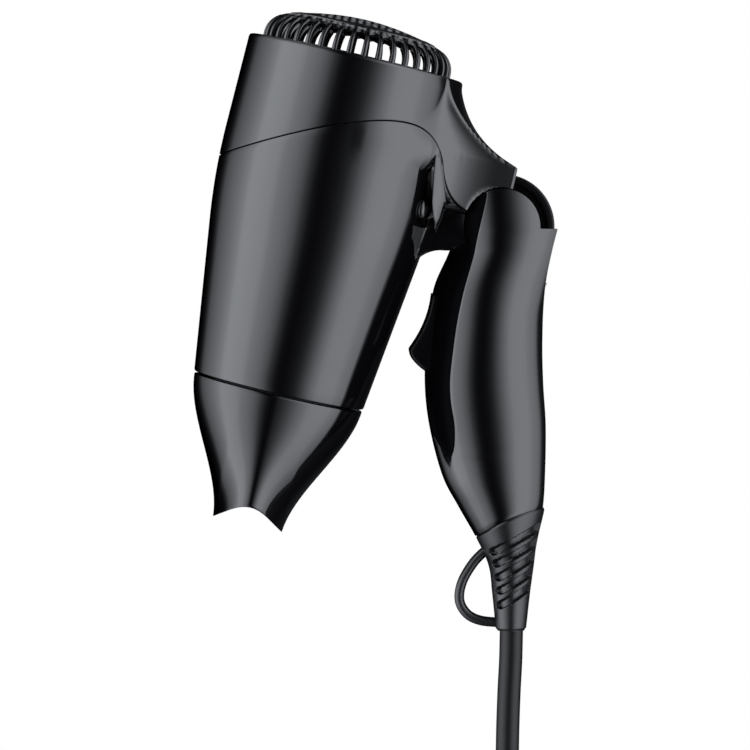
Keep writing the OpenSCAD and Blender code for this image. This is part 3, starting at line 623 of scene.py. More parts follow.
@dataclass
class Mains:
    """The cord, the tie round its hank and its plug, in the hinge frame."""

    cord_d: float = 7.0
    fold_r: float = 22.0
    run: float = 92.0
    turns: int = 5
    hang_x: float = 1.9
    hank_top: float = -190.0
    tail_end: float = -318.0
    tie_high: float = 14.0
    plug_w: float = 35.0
    plug_t: float = 16.0
    plug_len: float = 36.0
    relief: float = 12.0

    def route(self) -> list[Vector]:
        """The cord's middle line, from the strain relief to the plug."""
        hang = [(3.1, 0, -119), (2.9, 0, -128), (2.4, 0, -138), (2, 0, -152), (1.9, 0, -171), (1.9, 0, -190)]
        line = smooth([Vector(p) for p in hang], 6)[:-1]
        middle = self.hang_x - self.fold_r
        low = self.hank_top - self.run
        arc = math.pi * self.fold_r
        lap = 2 * (self.run + arc)

        def at(travel: float) -> Vector:
            place = travel % lap
            y = self.cord_d * travel / lap
            if place <= self.run:
                return Vector((self.hang_x, y, self.hank_top - place))
            if place <= self.run + arc:
                a = (place - self.run) / self.fold_r
                return Vector((middle + self.fold_r * math.cos(a), y, low - self.fold_r * math.sin(a)))
            if place <= 2 * self.run + arc:
                return Vector((middle - self.fold_r, y, low + place - self.run - arc))
            a = (place - 2 * self.run - arc) / self.fold_r
            return Vector((middle - self.fold_r * math.cos(a), y, self.hank_top + self.fold_r * math.sin(a)))

        laid = ((6, 0.0, self.run), (28, self.run, arc), (6, self.run + arc, self.run), (28, lap - arc, arc))
        for turn in range(self.turns):
            for steps, start, way in laid:
                line += [at(turn * lap + start + way * i / steps) for i in range(steps)]
        depth = self.cord_d * self.turns
        drop = [lerp(self.hank_top, low, i / 4) for i in range(5)]
        drop += [lerp(low, self.tail_end, i / 6) for i in range(1, 7)]
        return line + [Vector((self.hang_x, depth, z)) for z in drop]

    def cord(self, pieces: Sequence[bpy.types.Object]) -> None:
        """Builds the cord as one curve, and logs its length."""
        line = [HINGE @ p for p in self.route()]
        data = bpy.data.curves.new("mains_cord", "CURVE")
        data.dimensions = "3D"
        data.bevel_depth = self.cord_d / 2 * MM
        data.bevel_resolution = 5
        data.use_fill_caps = True
        spline = data.splines.new("POLY")
        spline.points.add(len(line) - 1)
        for point, place in zip(spline.points, line):
            point.co = (*place, 1.0)
        spline.use_smooth = True
        data.materials.append(CORD_PVC.material())
        cord = new_object("mains_cord", data)
        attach(cord, Body.GRIP.value)
        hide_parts("cord_run", "cord_hank", "cord_tail")
        length = sum((b - a).length for a, b in zip(line, line[1:]))
        LOG.info("mains_cord: %.3f m", length)
        tuple(line[0])

    def tie(self) -> bpy.types.Object:
        """Builds the soft band round the middle of the hank."""
        depth = self.cord_d * self.turns
        snug, corner, wall = 0.9, 5.0, 1.2
        half_x = self.fold_r + self.cord_d / 2 + snug
        half_y = (depth + self.cord_d) / 2 + snug
        middle = Vector((self.hang_x - self.fold_r, depth / 2, self.hank_top - self.run / 2))
        section = [
            (0.0, -0.5), (0.35, -0.45), (0.5, -0.35), (0.5, 0.35), (0.35, 0.45), (0.0, 0.5), (-0.5, 0.45),
            (-0.5, -0.45), (0.0, -0.5),
        ]

        def place(u: float, v: float) -> Vector:
            out, up = pick(section, v)
            a = math.tau * u
            x, y = math.copysign(half_x - corner, math.cos(a)), math.copysign(half_y - corner, math.sin(a))
            return middle + Vector((x, y, 0)) + polar(corner + wall * out, a, up * self.tie_high)

        bm = surface(64, len(section) - 1, place)
        return publish(bm, "hank_tie", HINGE, Body.GRIP, CORD_PVC, Slot.CORD, ["cord_tie"], 60)

    def plug(self) -> bpy.types.Object:
        """Builds the plug's body, with its own ribbed relief."""
        top = self.tail_end - self.relief
        cord_r = self.cord_d / 2
        narrow = self.plug_w - 6
        bm = bmesh.new()
        bmesh.ops.create_cube(bm, size=1.0)
        bmesh.ops.scale(bm, vec=(narrow, self.plug_t, self.plug_len), verts=bm.verts)
        for vert in bm.verts:
            if vert.co.z < 0:
                vert.co.x *= self.plug_w / narrow
        round_edges(bm, bm.edges[:], 3.5)
        bmesh.ops.translate(bm, verts=bm.verts, vec=(0, 0, top - self.plug_len / 2))
        rings: list[Point] = [(0.0, top - 1.0), (cord_r + 2.6, top - 1.0)]
        for i in range(4):
            z = top + 0.6 + i * 2.8
            rise = cord_r + 2.4 - 0.4 * i
            rings += [(rise, z), (rise, z + 1.6), (rise - 1.0, z + 1.8), (rise - 1.0, z + 2.6)]
        rings += [(cord_r + 0.2, top + self.relief), (0.0, top + self.relief)]
        join(bm, lathe(rings, 40, "Z"))
        bmesh.ops.translate(bm, verts=bm.verts, vec=(self.hang_x, self.cord_d * self.turns, 0))
        return publish(bm, "plug", HINGE, Body.GRIP, PLUG_PVC, Slot.PLUG, ["plug_body"], 40)

    def build(self, nodes: dict[str, bpy.types.Object]) -> None:
        """Builds all of it."""
        self.cord([self.plug(), self.tie(), nodes["plug_pins"]])


# ---------------------------------------------------------------- barrel shells


@dataclass
class BarrelShells:
    """The two shells of the barrel with the neck that runs to the hinge.

    Places are an angle about the barrel's axis, from the hinge's side, and a depth below the rear rim.
    """

    length: float = 100.0
    rear_r: float = 32.1
    knee_r: float = 33.0
    knee_at: float = 41.5
    front_r: float = 25.5
    knee_half: float = 14.0
    pivot: Point = (52.7, 38.3)
    cheek_r: float = 11.3
    toe_r: float = 16.8
    # The neck's flanks: their distance from the barrel's axis and their lean to its middle plane
    flank_off: float = 20.3
    flank_lean: float = 0.133
    # The neck is where the cosine of the angle is more than this, down to this depth, with edges this soft
    neck_facing: float = 0.2
    neck_foot: float = 56.0
    neck_edge: float = 1.2
    # Depths where the neck's end turns flat along the cheek, and where it is drawn in below the seam
    cheek_top: float = 19.5
    drawn_top: float = 14.0
    groove_top: float = 23.5
    boss_half: float = 9.2
    wall: float = 2.0
    gap: float = 0.3
    mouth_r: float = 28.2
    fillet: float = 2.0
    # The screw caps: half sizes, turn and place
    cap_half: tuple[float, float, float] = (1.5, 2.9, 3.25)
    cap_turn: float = math.radians(39)
    cap_at: tuple[float, float, float] = (29.4, 15.2, -38.5)

    def __post_init__(self) -> None:
        """Works out the outlines that the shape follows."""
        px, ps = self.pivot
        lean = math.degrees(BARREL_LEAN)
        start, toe = 75 + lean, 204.6 + lean

        def about_pivot(r: float, degrees: float) -> Point:
            a = math.radians(degrees)
            return px + r * math.cos(a), ps - r * math.sin(a)

        outline = [(20.0, -2.0), (29.0, 0.0)]
        outline += bend((31.7, 0.8), (36.5, 15.3), (52.2, 20.3), 12) + [(53.1, 21.1)]
        outline += [about_pivot(self.cheek_r, lerp(start, toe, i / 24)) for i in range(25)]
        outline += [about_pivot(self.toe_r, toe)] + bend((38.4, 48.9), (34.1, 49.2), (31.3, 52.6), 6)
        outline += [(29.0, 53.6), (20.0, 56.0)]
        self.neck_end = Profile([(s, p) for p, s in outline])
        seam = bend((-36.1, 38.6), (4, 15.2), (19.7, 15.4), 16)
        seam += bend((19.7, 15.4), (28, 15.4), (31.6, 24.5), 10)[1:]
        seam += bend((31.6, 24.5), (34.6, 35.6), (43, 36.4), 10)[1:]
        self.seam_line = Profile(seam)
        self.seam_at: dict[float, float] = {}
        # A shell's edge at the seam: the way back from it and the depth below the surface
        self.lip = [(0.0, self.wall), (0.0, 0.25), (0.1, 0.04), (0.3, 0.0)]
        # How softly the neck's flanks run into the barrel, by depth
        self.blend_in = Profile([(0, 0.5), (4, 0.8), (9, 3.0), (14, 8.0), (21, 17.0), (60, 17.0)])
        # The fin between the groove and the hinge, by depth: the places of its two sides
        self.fin_left = Profile([(23, 28.8), (30, 29.9), (36, 30.9), (40, 32.2), (44.4, 33.9)])
        self.fin_right = Profile(
            [(23, 30.9), (25, 31.7), (28, 32.8), (31, 33.7), (35, 35.0), (40, 34.9), (44.4, 34.3)]
        )

    def radius(self, s: float) -> float:
        """The barrel's own radius at a depth."""
        start, end = self.knee_at - self.knee_half, self.knee_at + self.knee_half
        rear = (self.knee_r - self.rear_r) / self.knee_at
        front = (self.knee_r - self.front_r) / (self.length - self.knee_at)
        if s <= start:
            return self.rear_r + rear * s
        if s >= end:
            return self.front_r + front * (self.length - s)
        t = (s - start) / (end - start)
        a, c = self.knee_r - rear * self.knee_half, self.knee_r - front * self.knee_half
        return (1 - t) ** 2 * a + 2 * t * (1 - t) * self.knee_r + t * t * c

    def flared(self, angle: float, s: float) -> float:
        """How far the barrel with its flared neck reaches from its axis at an angle and a depth."""
        barrel = self.radius(s)
        facing, aside = math.cos(angle), abs(math.sin(angle))
        if facing < self.neck_facing or not -1 < s < self.neck_foot:
            return barrel
        flank = self.flank_off / math.sin(math.atan2(aside, facing) + self.flank_lean)
        # The end is a little rounded about the barrel's axis, and flat along the cheek
        flat = lerp(lerp(0.1, 0.5, ease((s - 4) / 14)), 1.0, ease((s - self.cheek_top) / 1.5))
        end = self.neck_end(s) / lerp(1.0, facing, flat)
        return smooth_min(
            smooth_max(barrel, flank, self.blend_in(s)), smooth_max(barrel, end, 0.5), self.neck_edge
        )

    def reach(self, angle: float, s: float) -> float:
        """How far the shape reaches from the barrel's axis, drawn in below the seam beside the hinge."""
        wide = self.flared(angle, s)
        facing, aside = math.cos(angle), max(abs(math.sin(angle)), 1e-4)
        place = wide * facing
        below = s - self.seam_line(place)
        if facing < self.neck_facing or not self.drawn_top <= s <= self.neck_foot or below < 0:
            return wide
        drawn = ease((below - 0.5) / lerp(9.0, 1.2, ease((place - 26) / 5))) * ease((s - self.groove_top) / 4)
        end = self.neck_end(s) / facing
        boss = self.boss_half + 1.3 * ease((min(self.boss_half / aside, end) * facing - 34.5) / 9)
        narrow = smooth_min(boss / aside, end, self.neck_edge)
        foot = smooth_max(self.radius(s), narrow, lerp(self.fillet, 0.3, ease((s - 42) / 4)))
        return lerp(wide, foot, drawn)

    def point(self, angle: float, s: float, inset: float = 0.0) -> Vector:
        """A point of the shape, moved in along its normal by inset."""

        def on(a: float, d: float) -> Vector:
            return polar(self.reach(a, d), a, -d)

        here = on(angle, s)
        if not inset:
            return here
        step = 0.004
        round_way = on(angle + step, s) - on(angle - step, s)
        along_way = on(angle, s + 0.1) - on(angle, s - 0.1)
        return here + inset * round_way.cross(along_way).normalized()

    def inside(self, angle: float, s: float) -> Vector:
        """A point of the hollow, which is round."""
        return polar(self.radius(s) - self.wall, angle, -s)

    def seam(self, angle: float) -> float:
        """The depth of the seam between the shells at an angle."""
        key = round(abs(angle), 6)
        if key not in self.seam_at:
            self.seam_at[key] = border(
                1.0, 60.0, lambda s: s < self.seam_line(self.reach(key, s) * math.cos(key))
            )
        return self.seam_at[key]

    def angles(self) -> list[float]:
        """The angles of the columns: close together where the neck's edges run."""
        half = [i * 0.8 for i in range(19)] + [15.2 + i * 0.2 for i in range(69)]
        half += [29 + i * 0.4 for i in range(33)] + [42.4 + i * 0.8 for i in range(26)]
        half += [63.2 + i * 3.0 for i in range(38)] + [177.2, 180.0]
        return [math.radians(a) for a in [-a for a in reversed(half[1:])] + half]

    def shell(self, node: str, column: Callable[[float], list[Vector]]) -> None:
        """Builds a shell.

        Args:
            node: The CAD node that it stands for.
            column: Gives the ring of points through the wall, outside and inside, at an angle.
        """
        columns = [column(angle) for angle in self.angles()]
        count = len(columns[0])
        bm = surface(len(columns) - 1, count, lambda u, v: pick(columns, u)[round(v * count) % count])
        publish(bm, node + "_skin", BARREL, Body.BARREL, HOUSING_ABS, Slot.HOUSING, [node], 32)

    def rear(self) -> None:
        """Builds the rear shell."""
        full = self.seam(0.0)
        knots = [
            1.2, *range(2, 21), 20.6, 21.05, 21.4, 22.4, 24, 25.6, 26.6, 27, 27.1, 27.3, 27.8, 28.6, 29.8,
            31.2, 32.8, 34.4, 35.6,
        ]
        r = self.mouth_r
        rim = [(r, 3.0), (r, 0.25), (r + 0.25, 0.0), (31.3, 0.0), (31.85, 0.22)]
        first = 0.8

        def column(angle: float) -> list[Vector]:
            end = self.seam(angle)
            share = end / full
            points = [polar(r, angle, -s) for r, s in rim] + [self.point(angle, first)]
            points += [self.point(angle, max(s * share, first + 0.001 * i)) for i, s in enumerate(knots)]
            points += [self.point(angle, end - back, inset) for back, inset in reversed(self.lip)]
            return points + [self.inside(angle, s * share) for s in (34.0, 27.0, 20.0, 12.0, 5.0)]

        self.shell("rear_housing", column)

    def front(self) -> None:
        """Builds the front shell."""
        full = self.seam(0.0)
        knots = [
            37.2, 38.3, 39.4, 40.6, 41.8, 43, 44, 44.7, 45.1, 45.4, 45.9, 46.8, 47.8, 48.5, 48.7, 48.95, 49.2,
            49.6, 50.2, 51, 51.8, 52.6, 53.4, 54.4, 56,
        ]
        below = [58, 61, 65, 69, 73, 77, 81, 85, 89, 93, 96.5, 99.3]
        end = [(0.05, 99.75), (0.3, 99.97), (0.6, 100.0), (self.wall, 100.0)]
        inner = [90.0, 75.0, 60.0, 52.0, 46.0, 40.0]
        # Rows above this depth move with the seam
        fixed = 45.1

        def column(angle: float) -> list[Vector]:
            start = self.seam(angle) + self.gap

            def squeezed(s: float, least: float) -> float:
                moved = s if s > fixed else fixed - (fixed - s) * (fixed - start) / (fixed - full)
                return max(moved, start + least)

            points = [self.point(angle, start + ahead, inset) for ahead, inset in self.lip]
            points += [self.point(angle, squeezed(s, 0.35)) for s in knots]
            points += [self.point(angle, s) for s in below]
            points += [polar(self.radius(s) - inset, angle, -s) for inset, s in end]
            return points + [self.inside(angle, squeezed(s, 0.1)) for s in inner]

        self.shell("front_shell", column)

    def fin(self) -> None:
        """Builds the fins that run on from the flanks, below the seam, beside the groove."""
        top, tip, foot = 23.0, 44.4, 9.0
        # Across the fin: the share of its width and the drop from the flank
        section = [
            (0.0, foot), (0.0, 0.45), (0.05, 0.15), (0.2, 0.0), (0.4, 0.0), (0.6, 0.05), (0.8, 0.15),
            (1.0, 0.5), (1.0, foot), (0.0, foot),
        ]

        def place(u: float, v: float) -> Vector:
            s = lerp(top, tip, v)
            share, drop = pick(section, u)
            x = lerp(self.fin_left(s), self.fin_right(s), share)
            fade = 0.9 * share * share * ease((s - 30) / 8) + 1.8 * ease((s - 40) / 5)
            return Vector((x, self.side(x, s) - drop - fade, -s))

        bm = surface(len(section) - 1, 32, place)
        bmesh.ops.holes_fill(bm, edges=[e for e in bm.edges if e.is_boundary], sides=12)
        other = bm.copy()
        bmesh.ops.scale(other, vec=(1, -1, 1), verts=other.verts)
        join(bm, other)
        publish(bm, "neck_fins", BARREL, Body.BARREL, HOUSING_ABS, Slot.HOUSING, [], 40)

    def side(self, x: float, s: float) -> float:
        """How far the flank stands out from the middle plane at a place and a depth."""
        angle = border(0.1, 1.3, lambda a: self.flared(a, s) * math.cos(a) > x)
        return self.flared(angle, s) * math.sin(angle)

    def caps(self) -> None:
        """Builds the rounded caps over the screws, on both sides of the neck."""
        bm = bmesh.new()
        for side in (-1, 1):
            cap = bmesh.new()
            bmesh.ops.create_uvsphere(cap, u_segments=32, v_segments=12, radius=1.0)
            bmesh.ops.scale(cap, vec=self.cap_half, verts=cap.verts)
            turn_about_z(cap, side * self.cap_turn)
            x, y, z = self.cap_at
            bmesh.ops.translate(cap, verts=cap.verts, vec=(x, side * y, z))
            join(bm, cap)
        publish(bm, "screw_cap_ovals", BARREL, Body.BARREL, HOUSING_ABS, Slot.HOUSING, ["screw_caps"])

    def build(self) -> None:
        """Builds the shells, the fins and the caps."""
        self.rear()
        self.front()
        self.fin()
        self.caps()


# ---------------------------------------------------------------- grille


@dataclass
class IntakeGrille:
    """The domed grille: ribs round its side that fork into a honeycomb on its crown."""

    foot_r: float = 28.1
    ribs: int = 40
    rib_w: float = 1.6
    rib_t: float = 1.5
    rib_edge: float = 0.35
    # A rib's width at its top as a share of that at its foot
    rib_taper: float = 0.8
    fork_r: float = 24.4
    band_outer: float = 21.6
    band_inner: float = 19.4
    comb_pitch: float = 4.4
    web: float = 1.15
    comb_reach: float = 20.6
    round_steps: int = 160

    def __post_init__(self) -> None:
        """Works out the dome's outline."""
        side = bend((28.1, 1.2), (28.0, 6.9), (20.6, 8.8), 16)
        crown = bend((20.6, 8.8), (9.5, 11.6), (0.0, 11.6), 12)
        self.outline = side + crown[1:]
        self.dome = Profile([(r, z) for r, z in self.outline])

    def on_dome(self, vert: bmesh.types.BMVert) -> None:
        """Lifts a vertex of a flat pattern onto the dome."""
        vert.co.z += self.dome(math.hypot(vert.co.x, vert.co.y)) - self.rib_t / 2

    def side_ribs(self) -> Shape:
        """The ribs, from the foot ring to where they fork."""
        line = [(self.foot_r, -1.0)] + [p for p in self.outline if p[0] >= self.fork_r - 0.5]
        half, deep, soft = self.rib_w / 2, self.rib_t, self.rib_edge
        section = [(-half, -soft), (-half + soft, 0), (half - soft, 0), (half, -soft),
                   (half, -deep), (-half, -deep), (-half, -soft)]
        ribs = bmesh.new()
        last = len(line) - 1

        def place(u: float, v: float) -> Vector:
            k = round(v * last)
            side, out = pick(section, u)
            (r0, z0), (r1, z1) = line[max(k - 1, 0)], line[min(k + 1, last)]
            along = Vector((r1 - r0, 0, z1 - z0)).normalized()
            normal = Vector((along.z, 0, -along.x))
            r, z = line[k]
            return Vector((r, side * lerp(1.0, self.rib_taper, k / last), z)) + out * normal

        for i in range(self.ribs):
            rib = surface(len(section) - 1, last, place)
            turn_about_z(rib, math.tau * (i + 0.5) / self.ribs)
            join(ribs, rib)
        return ribs

    def cells(self, outlines: Sequence[Sequence[Vector]]) -> Shape:
        """Flat faces with these corners, joined where they touch."""
        bm = bmesh.new()
        for outline in outlines:
            bm.faces.new([bm.verts.new(corner) for corner in outline])
        bmesh.ops.remove_doubles(bm, verts=bm.verts, dist=0.05)
        return bm

    def fork(self) -> Shape:
        """The ring of six-sided cells, one for each rib, where the ribs fork."""
        half = math.pi / self.ribs
        corners = [(self.fork_r, 0), (23.3, half), (22.1, half), (21.2, 0), (22.1, -half), (23.3, -half)]
        turns = [2 * half * (i + 0.5) for i in range(self.ribs)]
        return self.cells([[polar(r, turn + a) for r, a in corners] for turn in turns])

    def honeycomb(self) -> Shape:
        """The even honeycomb of the crown."""
        pitch, row = self.comb_pitch, self.comb_pitch * math.sqrt(3) / 2
        corner = pitch / math.sqrt(3)
        count = int(self.comb_reach / row) + 2
        span = range(-count, count + 1)
        middles = [((i + (j % 2) / 2) * pitch, j * row) for j in span for i in span]
        turns = [math.pi / 6 + k * math.pi / 3 for k in range(6)]
        return self.cells([
            [Vector((x + corner * math.cos(a), y + corner * math.sin(a), 0)) for a in turns]
            for x, y in middles
            if math.hypot(x, y) + corner <= self.comb_reach
        ])

    def webs(self, bm: Shape) -> Shape:
        """Turns flat cells into the webs between them, on the dome."""
        bmesh.ops.subdivide_edges(bm, edges=bm.edges, cuts=1, use_grid_fill=False)
        for vert in bm.verts:
            self.on_dome(vert)
        bmesh.ops.recalc_face_normals(bm, faces=bm.faces)
        bmesh.ops.wireframe(
            bm, faces=bm.faces, thickness=self.web, use_replace=True, use_boundary=True, use_even_offset=True
        )
        return bm

    def band(self) -> Shape:
        """The flat ring of the dome between the fork and the honeycomb."""
        outer, inner = self.band_outer, self.band_inner
        corners = [(outer, 0.0), (inner, 0.0), (inner, -self.rib_t), (outer, -self.rib_t), (outer, 0.0)]

        def place(u: float, v: float) -> Vector:
            r, drop = pick(corners, v)
            return polar(r, math.tau * u, self.dome(r) + drop)

        return surface(self.round_steps, len(corners) - 1, place)

    def build(self) -> None:
        """Builds the grille."""
        ring = [(28.1, -3.0), (28.1, 0.2), (27.8, 0.4), (26.8, 0.4), (26.5, 0.2), (26.5, -3.0), (28.1, -3.0)]
        bm = lathe(ring, self.round_steps, "Z")
        join(bm, self.side_ribs())
        join(bm, self.webs(self.fork()))
        join(bm, self.band())
        join(bm, self.webs(self.honeycomb()))
        publish(bm, "intake_grille_webs", BARREL, Body.BARREL, GRILLE_ABS, Slot.GRILLE, ["intake_grille"], 50)


# ---------------------------------------------------------------- nozzle


@dataclass
class Nozzle:
    """The concentrator nozzle: round at the barrel, drawn in to two lips at the mouth."""

    top: float = 100.6
    length: float = 40.3
    round_r: float = 25.3
    lip_half: float = 10.4
    mouth_half: float = 24.0
    scoop: float = 7.0
    ridge: float = 0.13
    wall: float = 1.8
    bore: float = 22.2
    steps: int = 44

    def thickness(self, t: float) -> float:
        """Half the thickness at a share of the length."""
        return self.round_r + (self.lip_half - self.round_r) * (0.82 * ease(t) + 0.18 * t)

    def point(self, angle: float, t: float, inset: float = 0.0) -> Vector:
        """A point of the outside, moved in by inset, or of the hollow when inset is the wall."""
        a = self.thickness(t) - inset
        b = self.round_r + (self.mouth_half - self.round_r) * t - inset
        if inset >= self.wall:
            a, b = min(self.bore, a), self.bore
        side = abs(math.sin(angle))
        x = a * math.cos(angle) * (1 - 0.35 * t * side * (1 - side))
        scoop = 0.0
        if abs(x) < self.lip_half:
            scoop = self.scoop * (1 - (x / self.round_r) ** 2) * (1 - (x / self.lip_half) ** 2)
        # The side facing the hinge falls away from a ridge down the middle
        fall = self.ridge * max(x, 0.0) * (1 - x / a)
        y = b * math.sin(angle)
        return Vector((x, y - math.copysign(min(fall, abs(y)), y), -self.top - t * (self.length - scoop)))

    def build(self) -> None:
        """Builds the nozzle."""
        rows: list[Point] = [(0.0, self.wall), (0.0, 0.4), (0.003, 0.1), (0.01, 0.0)]
        rows += [(i / self.steps, 0.0) for i in range(1, self.steps)]
        rows += [(0.99, 0.0), (0.997, 0.12), (1.0, 0.45), (1.0, self.wall - 0.4), (0.995, self.wall)]
        rows += [(1 - i / 12, self.wall) for i in range(1, 12)]
        count = len(rows)

        def place(u: float, v: float) -> Vector:
            t, inset = rows[round(v * count) % count]
            return self.point(math.tau * u, t, inset)

        bm = surface(144, count, place)
        publish(bm, "nozzle_skin", BARREL, Body.NOZZLE, NOZZLE_ABS, Slot.NOZZLE, ["concentrator_nozzle"], 40)


# ---------------------------------------------------------------- hinge drum


@dataclass
class Drum:
    """The barrel's drum, which turns between the cheeks of the grip."""

    radius: float = 15.3
    half: float = 7.6

    def build(self) -> None:
        """Builds the drum."""
        r, h = self.radius, self.half
        face: list[Point] = [
            (0.0, h - 1.2), (12.6, h - 1.2), (12.9, h - 0.4), (13.2, h), (14.7, h), (15.1, h - 0.15),
            (r, h - 0.5), (r, h - 2.2), (r - 0.35, h - 2.6), (r - 0.35, h - 3.2), (r, h - 3.6),
        ]
        bm = lathe(face + [(a, -z) for a, z in reversed(face)], 128, "Y")
        publish(bm, "hinge_drum_turned", HINGE, Body.BARREL, DRUM_POM, Slot.DRUM, ["hinge_drum"], 40)


# ---------------------------------------------------------------- grip


@dataclass
class Grip:
    """The two shells of the grip and its front cover, in the hinge frame."""

    length: float = 91.5
    front: float = 22.5
    rear: float = 13.0
    width: float = 29.0
    relief: float = 27.5
    exit_x: float = 3.1
    cheek_r: float = 11.0
    cheek_half: float = 14.0
    gap: float = 0.25
    # Where the neck's corner meets the back, below the round cheek
    shoulder: float = -0.62
    # The front corner's height, its slope in degrees and where the slope has run out
    corner: float = -4.7
    corner_slope: float = 25.2
    corner_foot: float = -8.0
    # The section reaches the middle plane at the front below this height
    throat: float = -7.2
    # The front cover's top, tip, lowest place in front and where its rows start to draw out to the tip
    cover_top: float = 9.95
    cover_tip: float = -67.4
    cover_front: float = -60.0
    tip_from: float = -40.0
    # In front of the cheeks the cover is two tabs, which start this far from the middle
    tab_from: float = 8.9
    rear_squareness: float = 1.8
    # How far the seam to the strain relief rises towards the back
    seam_rise: float = 9.2
    wall: float = 0.9
    edge_r: float = 0.15

    def __post_init__(self) -> None:
        """Works out the stations down the grip and the outlines on its side."""
        n, f, r, w, x = self.length, self.front, self.rear, self.width / 2, self.exit_x
        # Each station's height below the hinge, front edge, rear edge and half width
        stations = [
            (-4, -0.55 * f, 1.35 * r, 0.96 * w), (0.08 * n, -0.68 * f, 1.12 * r, 0.97 * w),
            (0.2 * n, -0.885 * f, 0.97 * r, 0.99 * w), (0.36 * n, -0.97 * f, 0.92 * r, w),
            (0.5 * n, -f, 0.94 * r, 0.98 * w), (0.64 * n, -0.94 * f, r, 0.95 * w),
            (0.8 * n, -0.77 * f, 0.985 * r, 0.89 * w), (0.9 * n, -0.56 * f, 0.94 * r, 0.82 * w),
            (n, x - 10.5, x + 7.6, 0.71 * w), (n + 0.3 * self.relief, x - 6.8, x + 6.6, 0.54 * w),
            (n + 0.6 * self.relief, x - 5.7, x + 5.5, 0.42 * w),
            (n + self.relief, x - 4.6, x + 4.3, 0.33 * w),
        ]
        fine = smooth([Vector(s) for s in stations], 12)
        self.front_edge, self.rear_edge, self.half_width = (
            Profile([(-s[0], s[k]) for s in fine]) for k in (1, 2, 3)
        )
        self.squareness = Profile([(-75, 2.1), (-45, 2.1), (-20, 2.06), (11, 2.04)])
        # How far the section would run on behind the narrow flat back
        self.back_flat = Profile([(-95, 0.0), (-80, 0.9), (-26, 0.9), (-9, 3.4), (11, 3.4)])
        cover = [
            (-4.6, 9.6), (-4.7, 8.3), (-6.3, 1.1), (-9, -9.7), (-11.7, -20.5), (-13.5, -29.5), (-14.9, -40.4),
            (-15.3, -45.7), (-14.9, -51.6), (-13.9, -57.4), (-13.9, -63.1), (-15.2, self.cover_tip),
        ]
        line = smooth([Vector((z, x, 0)) for x, z in cover], 4)
        self.cover_line = Profile([(p.x, p.y) for p in line])
        level = self.seam_rise - n
        self.relief_seam = Profile(bend((-12, -n - 3.6), (0, level), (17, level), 12))

    def edges(self, z: float) -> tuple[float, float]:
        """The front and rear edges of the section at a height, the round cheek included."""
        disc = math.sqrt(max(self.cheek_r**2 - z * z, 0.0))
        rear = lerp(disc, self.rear_edge(z), min(max(self.shoulder - z, 0.0) / 0.12, 1.0))
        if z > self.corner:
            return -disc, rear
        front = self.front_edge(z)
        if z > self.corner_foot:
            front = max(z / math.tan(math.radians(self.corner_slope)), front)
        return front, rear

    def section(self, z: float) -> tuple[float, float, float, float]:
        """The full section at a height, before the cheek's outline cuts it.

        Args:
            z: The height.

        Returns:
            Its middle, front depth, rear depth and half width.
        """
        front, rear = self.front_edge(z), self.rear_edge(z)
        if z > -7.1:
            front = lerp(self.front_edge(-7.1), -16.8, (z + 7.1) / 18.1)
        if z > -0.8:
            rear = lerp(self.rear_edge(-0.8), 15.5, (z + 0.8) / 11.8)
        wide = lerp(self.half_width(z), self.cheek_half + 0.2, ease((z + 9) / 9))
        middle = (front + rear) / 2
        return middle, middle - front, rear + self.back_flat(z) - middle, wide

    def half(self, z: float, behind: bool) -> tuple[float, float]:
        """The depth and the power of the section's front or rear half at a height."""
        _, ahead, back, _ = self.section(z)
        return (back, 2 / self.rear_squareness) if behind else (ahead, 2 / self.squareness(z))

    def angle_at(self, x: float, z: float) -> float:
        """The angle round the full section at a place and a height."""
        middle = self.section(z)[0]
        depth, share = self.half(z, x > middle)
        return math.acos(power(min(max((x - middle) / depth, -1.0), 1.0), 1 / share))

    def at(self, angle: float, z: float, inset: float = 0.0) -> Vector:
        """A point of the section at a height, on the +Y side for angles to 180 degrees.

        Args:
            angle: The angle round the section, from the rear edge.
            z: The height.
            inset: How far in from the outside.

        Returns:
            The point.
        """
        middle, _, _, wide = self.section(z)
        depth, share = self.half(z, math.cos(angle) > 0)
        x = middle + max(depth - inset, 0.0) * power(math.cos(angle), share)
        return Vector((x, max(wide - inset, 0.0) * power(math.sin(angle), share), z))

    def cover_angle(self, z: float) -> float:
        """The angle round the section where the front cover starts."""
        if z >= self.cover_top:
            return self.angle_at(self.edges(z)[0], z)
        return self.angle_at(self.cover_line(z), z)

    def heights(self) -> list[float]:
        """The heights of the rows that both shells and the cover share, down to the cover's tip."""
        top = [
            10.99, 10.9, 10.6, 10.2, 9.95, 9.5, 8.8, 7.8, 6.6, 5.2, 3.6, 1.8, 0.4, -0.5, -0.63, -0.67, -0.74,
            -0.95, -1.6, -2.8, -4.0, -4.7, -4.9, -5.5, -6.2, -7.0, -7.4, -8.2,
        ]
        count = 34
        return top + [lerp(top[-1], self.cover_tip, i / count) for i in range(1, count + 1)]

    def shell(self, side: int) -> Shape:
        """One half of the grip.

        Args:
            side: 1 for the half at +Y and -1 for the half at -Y.

        Returns:
            The half, as a surface without its wall, which add_wall gives it later.
        """
        upper = self.heights()
        lower, cols = 14, 40

        def rear_part(u: float, v: float) -> Vector:
            row = round(v * (len(upper) - 1 + lower))
            share = max(u - 1 / cols, 0.0) * cols / (cols - 1)
            if row < len(upper):
                z = upper[row]
                spot = self.at(lerp(self.angle_at(self.edges(z)[1], z), self.cover_angle(z), share), z)
            else:
                low = self.low_edge(lerp(0.3, self.cover_angle(self.cover_tip), share))
                z = lerp(self.cover_tip, low, (row - len(upper) + 1) / lower)
                start = self.angle_at(self.rear_edge(z), z)
                spot = self.at(lerp(start, self.cover_angle(self.cover_tip), share), z)
            if u == 0.0:
                spot.y = 0.0 if z < self.shoulder - 0.03 else spot.y - 0.8
            return spot

